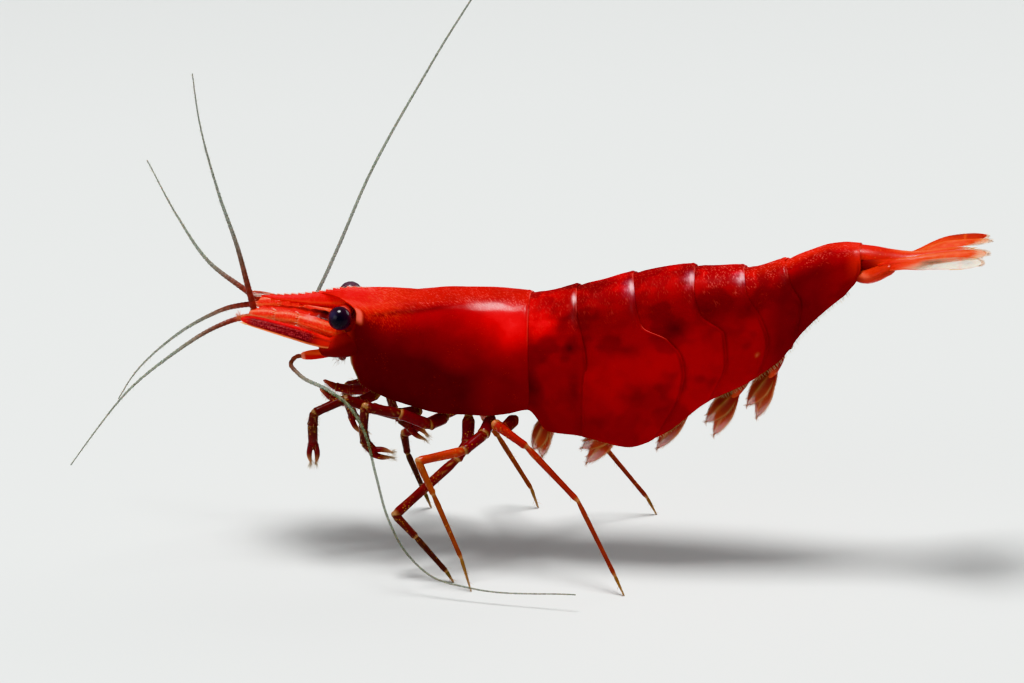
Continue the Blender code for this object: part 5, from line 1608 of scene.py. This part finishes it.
def plant(name, skins):
    """One piece of hair: its bristles' spots become the bake's own unwrap."""
    made = make_piece(name, skins, hair_chitin)
    spots = np.vstack([skin["spots"] for skin in skins])
    corners = np.zeros(len(made.data.loops), np.int32)
    made.data.loops.foreach_get("vertex_index", corners)
    unwrap = made.data.uv_layers.new(name="OFBake")
    unwrap.data.foreach_set("uv", np.clip(spots[corners], 0.001, 0.999).astype(np.float32).ravel())
    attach(made, "root")


def picked(row, first, last, count):
    """count even places of a row of vectors between two shares of it."""
    at = np.linspace(first, last, count) * (len(row) - 1)
    low = np.clip(at.astype(int), 0, len(row) - 2)
    return row[low] + (row[low + 1] - row[low]) * (at - low)[:, None]


def joined(*columns):
    """Rows of vectors, or of spots on an unwrap, from their columns. A column may be one number for all
    rows."""
    return np.stack(np.broadcast_arrays(*columns), axis=-1).astype(float)


hair_chitin = shell_material("hair_chitin", 0.35, bump=0.0, soft=0.0, clear_share=0.6)
chance = np.random.default_rng(41)
# radii of the bristles, from the stoutest to the finest
STOUT, MEDIUM, FINE, FINEST = 0.011, 0.009, 0.008, 0.007

# the leaves' fringes, each bristle leaning along its margin
tufts = {}
for piece, slot, edge, outward, (first, last), count, length, lean, tint in margins:
    roots = picked(edge, first, last, count)
    out = picked(outward, first, last, count)
    ahead = unit(picked(np.gradient(edge, axis=0), first, last, count))
    ways = unit(out * (1 - lean) + ahead * lean + chance.normal(0, 0.05, (count, 3)))
    sizes = length * chance.uniform(0.75, 1.0, count) * np.linspace(0.7, 1.0, count)
    group = tufts.setdefault((piece, slot), [])
    place = joined(np.linspace(0.05, 0.95, count), 0.08 + 0.84 * (len(group) % 7) / 7)
    group.append(bristles(roots - out * 0.015, ways, sizes, STOUT, out * 0.12, tint, place))

# a crest of short pale bristles between the rostrum's teeth and a longer brush at its point
CREST_COUNT, CREST_FROM, CREST_TO = 110, -11.2, -6.7
BRUSH_COUNT, BRUSH_ROOT = 16, (-11.3, 0, 10.93)
CREST_HAIR, BRUSH_HAIR = colour(244, 196, 170), colour(250, 236, 222)
x = np.linspace(CREST_FROM, CREST_TO, CREST_COUNT)
upper = through(ROSTRUM, x)[:, 0]
lean = chance.uniform(-0.25, 0.25, CREST_COUNT)
roots = joined(x, lean * 0.06, upper + 0.01)
sizes = chance.uniform(0.12, 0.24, CREST_COUNT)
place = joined(np.linspace(0.02, 0.3, CREST_COUNT), 0.5 + lean * 0.1)
crest = bristles(roots, joined(-0.85, lean, 0.55), sizes, MEDIUM, (0, 0, -0.15), CREST_HAIR, place)
fan_side, fan_up = chance.uniform(-0.16, 0.16, (BRUSH_COUNT, 2)).T
roots = np.array(BRUSH_ROOT) + joined(chance.uniform(-0.1, 0.2, BRUSH_COUNT), fan_side * 0.1, fan_up * 0.2)
sizes = chance.uniform(0.3, 0.55, BRUSH_COUNT)
place = joined(0.02, np.linspace(0.4, 0.6, BRUSH_COUNT))
brush = bristles(roots, joined(-1.0, fan_side, fan_up + 0.05), sizes, STOUT, (0, 0, 0.05), BRUSH_HAIR, place)
plant("carapace_crest_hair", [crest, brush])

# short pale bristles along the lower edges of the plates
# from x, to x, count, length, how far back they lean
EDGE_ROWS = (
    (-7.2, -0.4, 90, 0.12, -0.3),
    (0.9, 4.4, 60, 0.14, 0.3),
    (5.0, 8.0, 60, 0.18, 0.45),
    (8.0, 13.2, 150, 0.28, 0.5),
)
EDGE_HAIR = colour(238, 220, 184)
for word, side in (("left", -1), ("right", 1)):
    skins = []
    for first, last, count, length, back in EDGE_ROWS:
        x = np.linspace(first, last, count) + chance.uniform(-0.02, 0.02, count)
        y, z = body_side(x, np.ones(count))
        ways = np.array([back, side * 0.35, -1.0]) + chance.normal(0, 0.15, (count, 3))
        roots = joined(x, side * (y - 0.06), z + 0.03)
        sizes = length * chance.uniform(0.6, 1.0, count)
        place = joined((x + 8) / 24, 0.5 + 0.47 * side)
        skins.append(bristles(roots, ways, sizes, MEDIUM, (0.1, 0, 0), EDGE_HAIR, place))
    plant(f"plate_edge_hair_{word}", skins)

for (piece, slot), skins in tufts.items():
    plant(piece + "_hair", skins)

# sparse bristles on the limbs and brushes on the pincers' fingers
CLAWED_COUNT, WALKING_COUNT, BRUSH_HAIRS = 16, 9, 34
LEG_HAIR, CLAW_HAIR = colour(214, 170, 130), colour(220, 200, 170)
LEG_HAIR_LOWEST = 0.12
for (number, side), joints in LEG_JOINTS.items():
    word = "left" if side < 0 else "right"
    joints = sided(joints, side)
    count = CLAWED_COUNT if number in CLAWED_LEGS else WALKING_COUNT
    skins = []
    for step in range(2, 6):
        share = chance.uniform(0.1, 0.95, count)
        way = unit(joints[step + 1] - joints[step])
        turn = chance.uniform(0, 2 * math.pi, count)
        side_way = unit(np.cross(way, (0.2, 0.9, 0.3)))
        out = side_way * np.cos(turn)[:, None] + np.cross(way, side_way) * np.sin(turn)[:, None]
        thick = LEG_RADII[number][step + 1] * 0.85
        roots = joints[step] + (joints[step + 1] - joints[step]) * share[:, None] + out * thick
        roots[:, 2] = np.maximum(roots[:, 2], LEG_HAIR_LOWEST)
        sizes = chance.uniform(0.12, 0.26, count)
        place = joined((step + share) / 7, turn / 6.3 * 0.9 + 0.05)
        skins.append(bristles(roots, out + way * 0.8, sizes, FINE, way * 0.2, LEG_HAIR, place))
    if number in CLAWED_LEGS:
        way, apart = claw_ways((number, side))
        for turn in (-1, 1):
            end = joints[-1] + way * 0.70 + apart * turn * 0.11
            spray = chance.normal(0, 0.28, (BRUSH_HAIRS, 3))
            roots = end + way * chance.uniform(-0.22, 0.04, BRUSH_HAIRS)[:, None] + spray * 0.06
            sizes = chance.uniform(0.22, 0.42, BRUSH_HAIRS)
            place = joined(np.linspace(0.9, 0.97, BRUSH_HAIRS), 0.5 + 0.3 * turn)
            ways = way + spray + apart * turn * 0.12
            skins.append(bristles(roots, ways, sizes, MEDIUM, (0, 0, 0), CLAW_HAIR, place))
    plant(f"leg_{number}_{word}_hair", skins)

# combs on the maxillipeds and pale bristles round the mouth
COMB_COUNT, BEARD_COUNT = 70, 30
COMB_HAIR, BEARD_HAIR = colour(222, 190, 160), colour(240, 232, 220)
for word, side in (("left", -1), ("right", 1)):
    line = smooth_line(sided(MAXILLIPED, side), 101)
    at = np.linspace(25, 99, COMB_COUNT).astype(int)
    ways = joined(chance.normal(-0.2, 0.1, COMB_COUNT), -side * 0.5, chance.normal(-0.7, 0.2, COMB_COUNT))
    roots = line[at] + np.array([0, 0, -0.12])
    sizes = chance.uniform(0.18, 0.34, COMB_COUNT)
    comb = bristles(roots, ways, sizes, MEDIUM, (-0.2, 0, 0), COMB_HAIR, joined(at / 101, 0.5))
    ahead = chance.uniform(-0.3, 0.3, BEARD_COUNT)
    out = side * chance.uniform(0.1, 0.6, BEARD_COUNT)
    roots = joined(-8.0 + ahead, out, chance.uniform(8.25, 8.6, BEARD_COUNT))
    forward_lean = chance.normal(-0.3, 0.2, BEARD_COUNT)
    ways = joined(forward_lean, side * chance.uniform(0.0, 0.4, BEARD_COUNT), -1.0)
    sizes = chance.uniform(0.15, 0.3, BEARD_COUNT)
    beard = bristles(roots, ways, sizes, MEDIUM, (-0.2, 0, 0), BEARD_HAIR, joined(0.5 + ahead, 0.2))
    plant(f"maxilliped_{word}_hair", [comb, beard])

# the whips and the ends of the antennule bases carry short fine bristles
WHIP_COUNT, COLLAR_COUNT = 130, 18
# the ends of the base's articles in hundredths of its length, and its radius there
COLLARS = ((51, 0.30), (75, 0.27), (99, 0.22))
WHIP_HAIR, COLLAR_HAIR = colour(190, 190, 160), colour(250, 200, 170)
for word, side in (("left", -1), ("right", 1)):
    for level in ("upper", "lower"):
        line = smooth_line(sided(ANTENNULE_WHIPS[level, side], side), 401)
        at = np.linspace(6, 396, WHIP_COUNT).astype(int)
        way = unit(np.gradient(line, axis=0))[at]
        turn = chance.uniform(0, 2 * math.pi, WHIP_COUNT)[:, None]
        out = unit(np.cross(way, (0.31, 0.18, 0.93)))
        out = out * np.cos(turn) + np.cross(way, out) * np.sin(turn)
        place = joined(at / 401, turn[:, 0] / 6.5 + 0.01)
        sizes = chance.uniform(0.14, 0.30, WHIP_COUNT) * np.linspace(1, 0.6, WHIP_COUNT)
        roots = line[at] + out * 0.02
        hairs = bristles(roots, out + way * 0.9, sizes, FINEST, way * 0.1, WHIP_HAIR, place)
        plant(f"antennule_{level}_{word}_hair", [hairs])
    base = smooth_line(sided(ANTENNULE_BASE, side), 101)
    skins = []
    for end, thick in COLLARS:
        turn = np.linspace(0, 2 * math.pi, COLLAR_COUNT, endpoint=False)
        out = joined(0, np.cos(turn), np.sin(turn))
        place = joined(end / 101, turn / 6.5 + 0.01)
        roots = base[end] + out * thick * 0.9
        ways = out * 0.5 + np.array([-1.0, 0, 0])
        sizes = chance.uniform(0.15, 0.3, COLLAR_COUNT)
        skins.append(bristles(roots, ways, sizes, MEDIUM, (0, 0, 0), COLLAR_HAIR, place))
    plant(f"antennule_{word}_base_hair", skins)
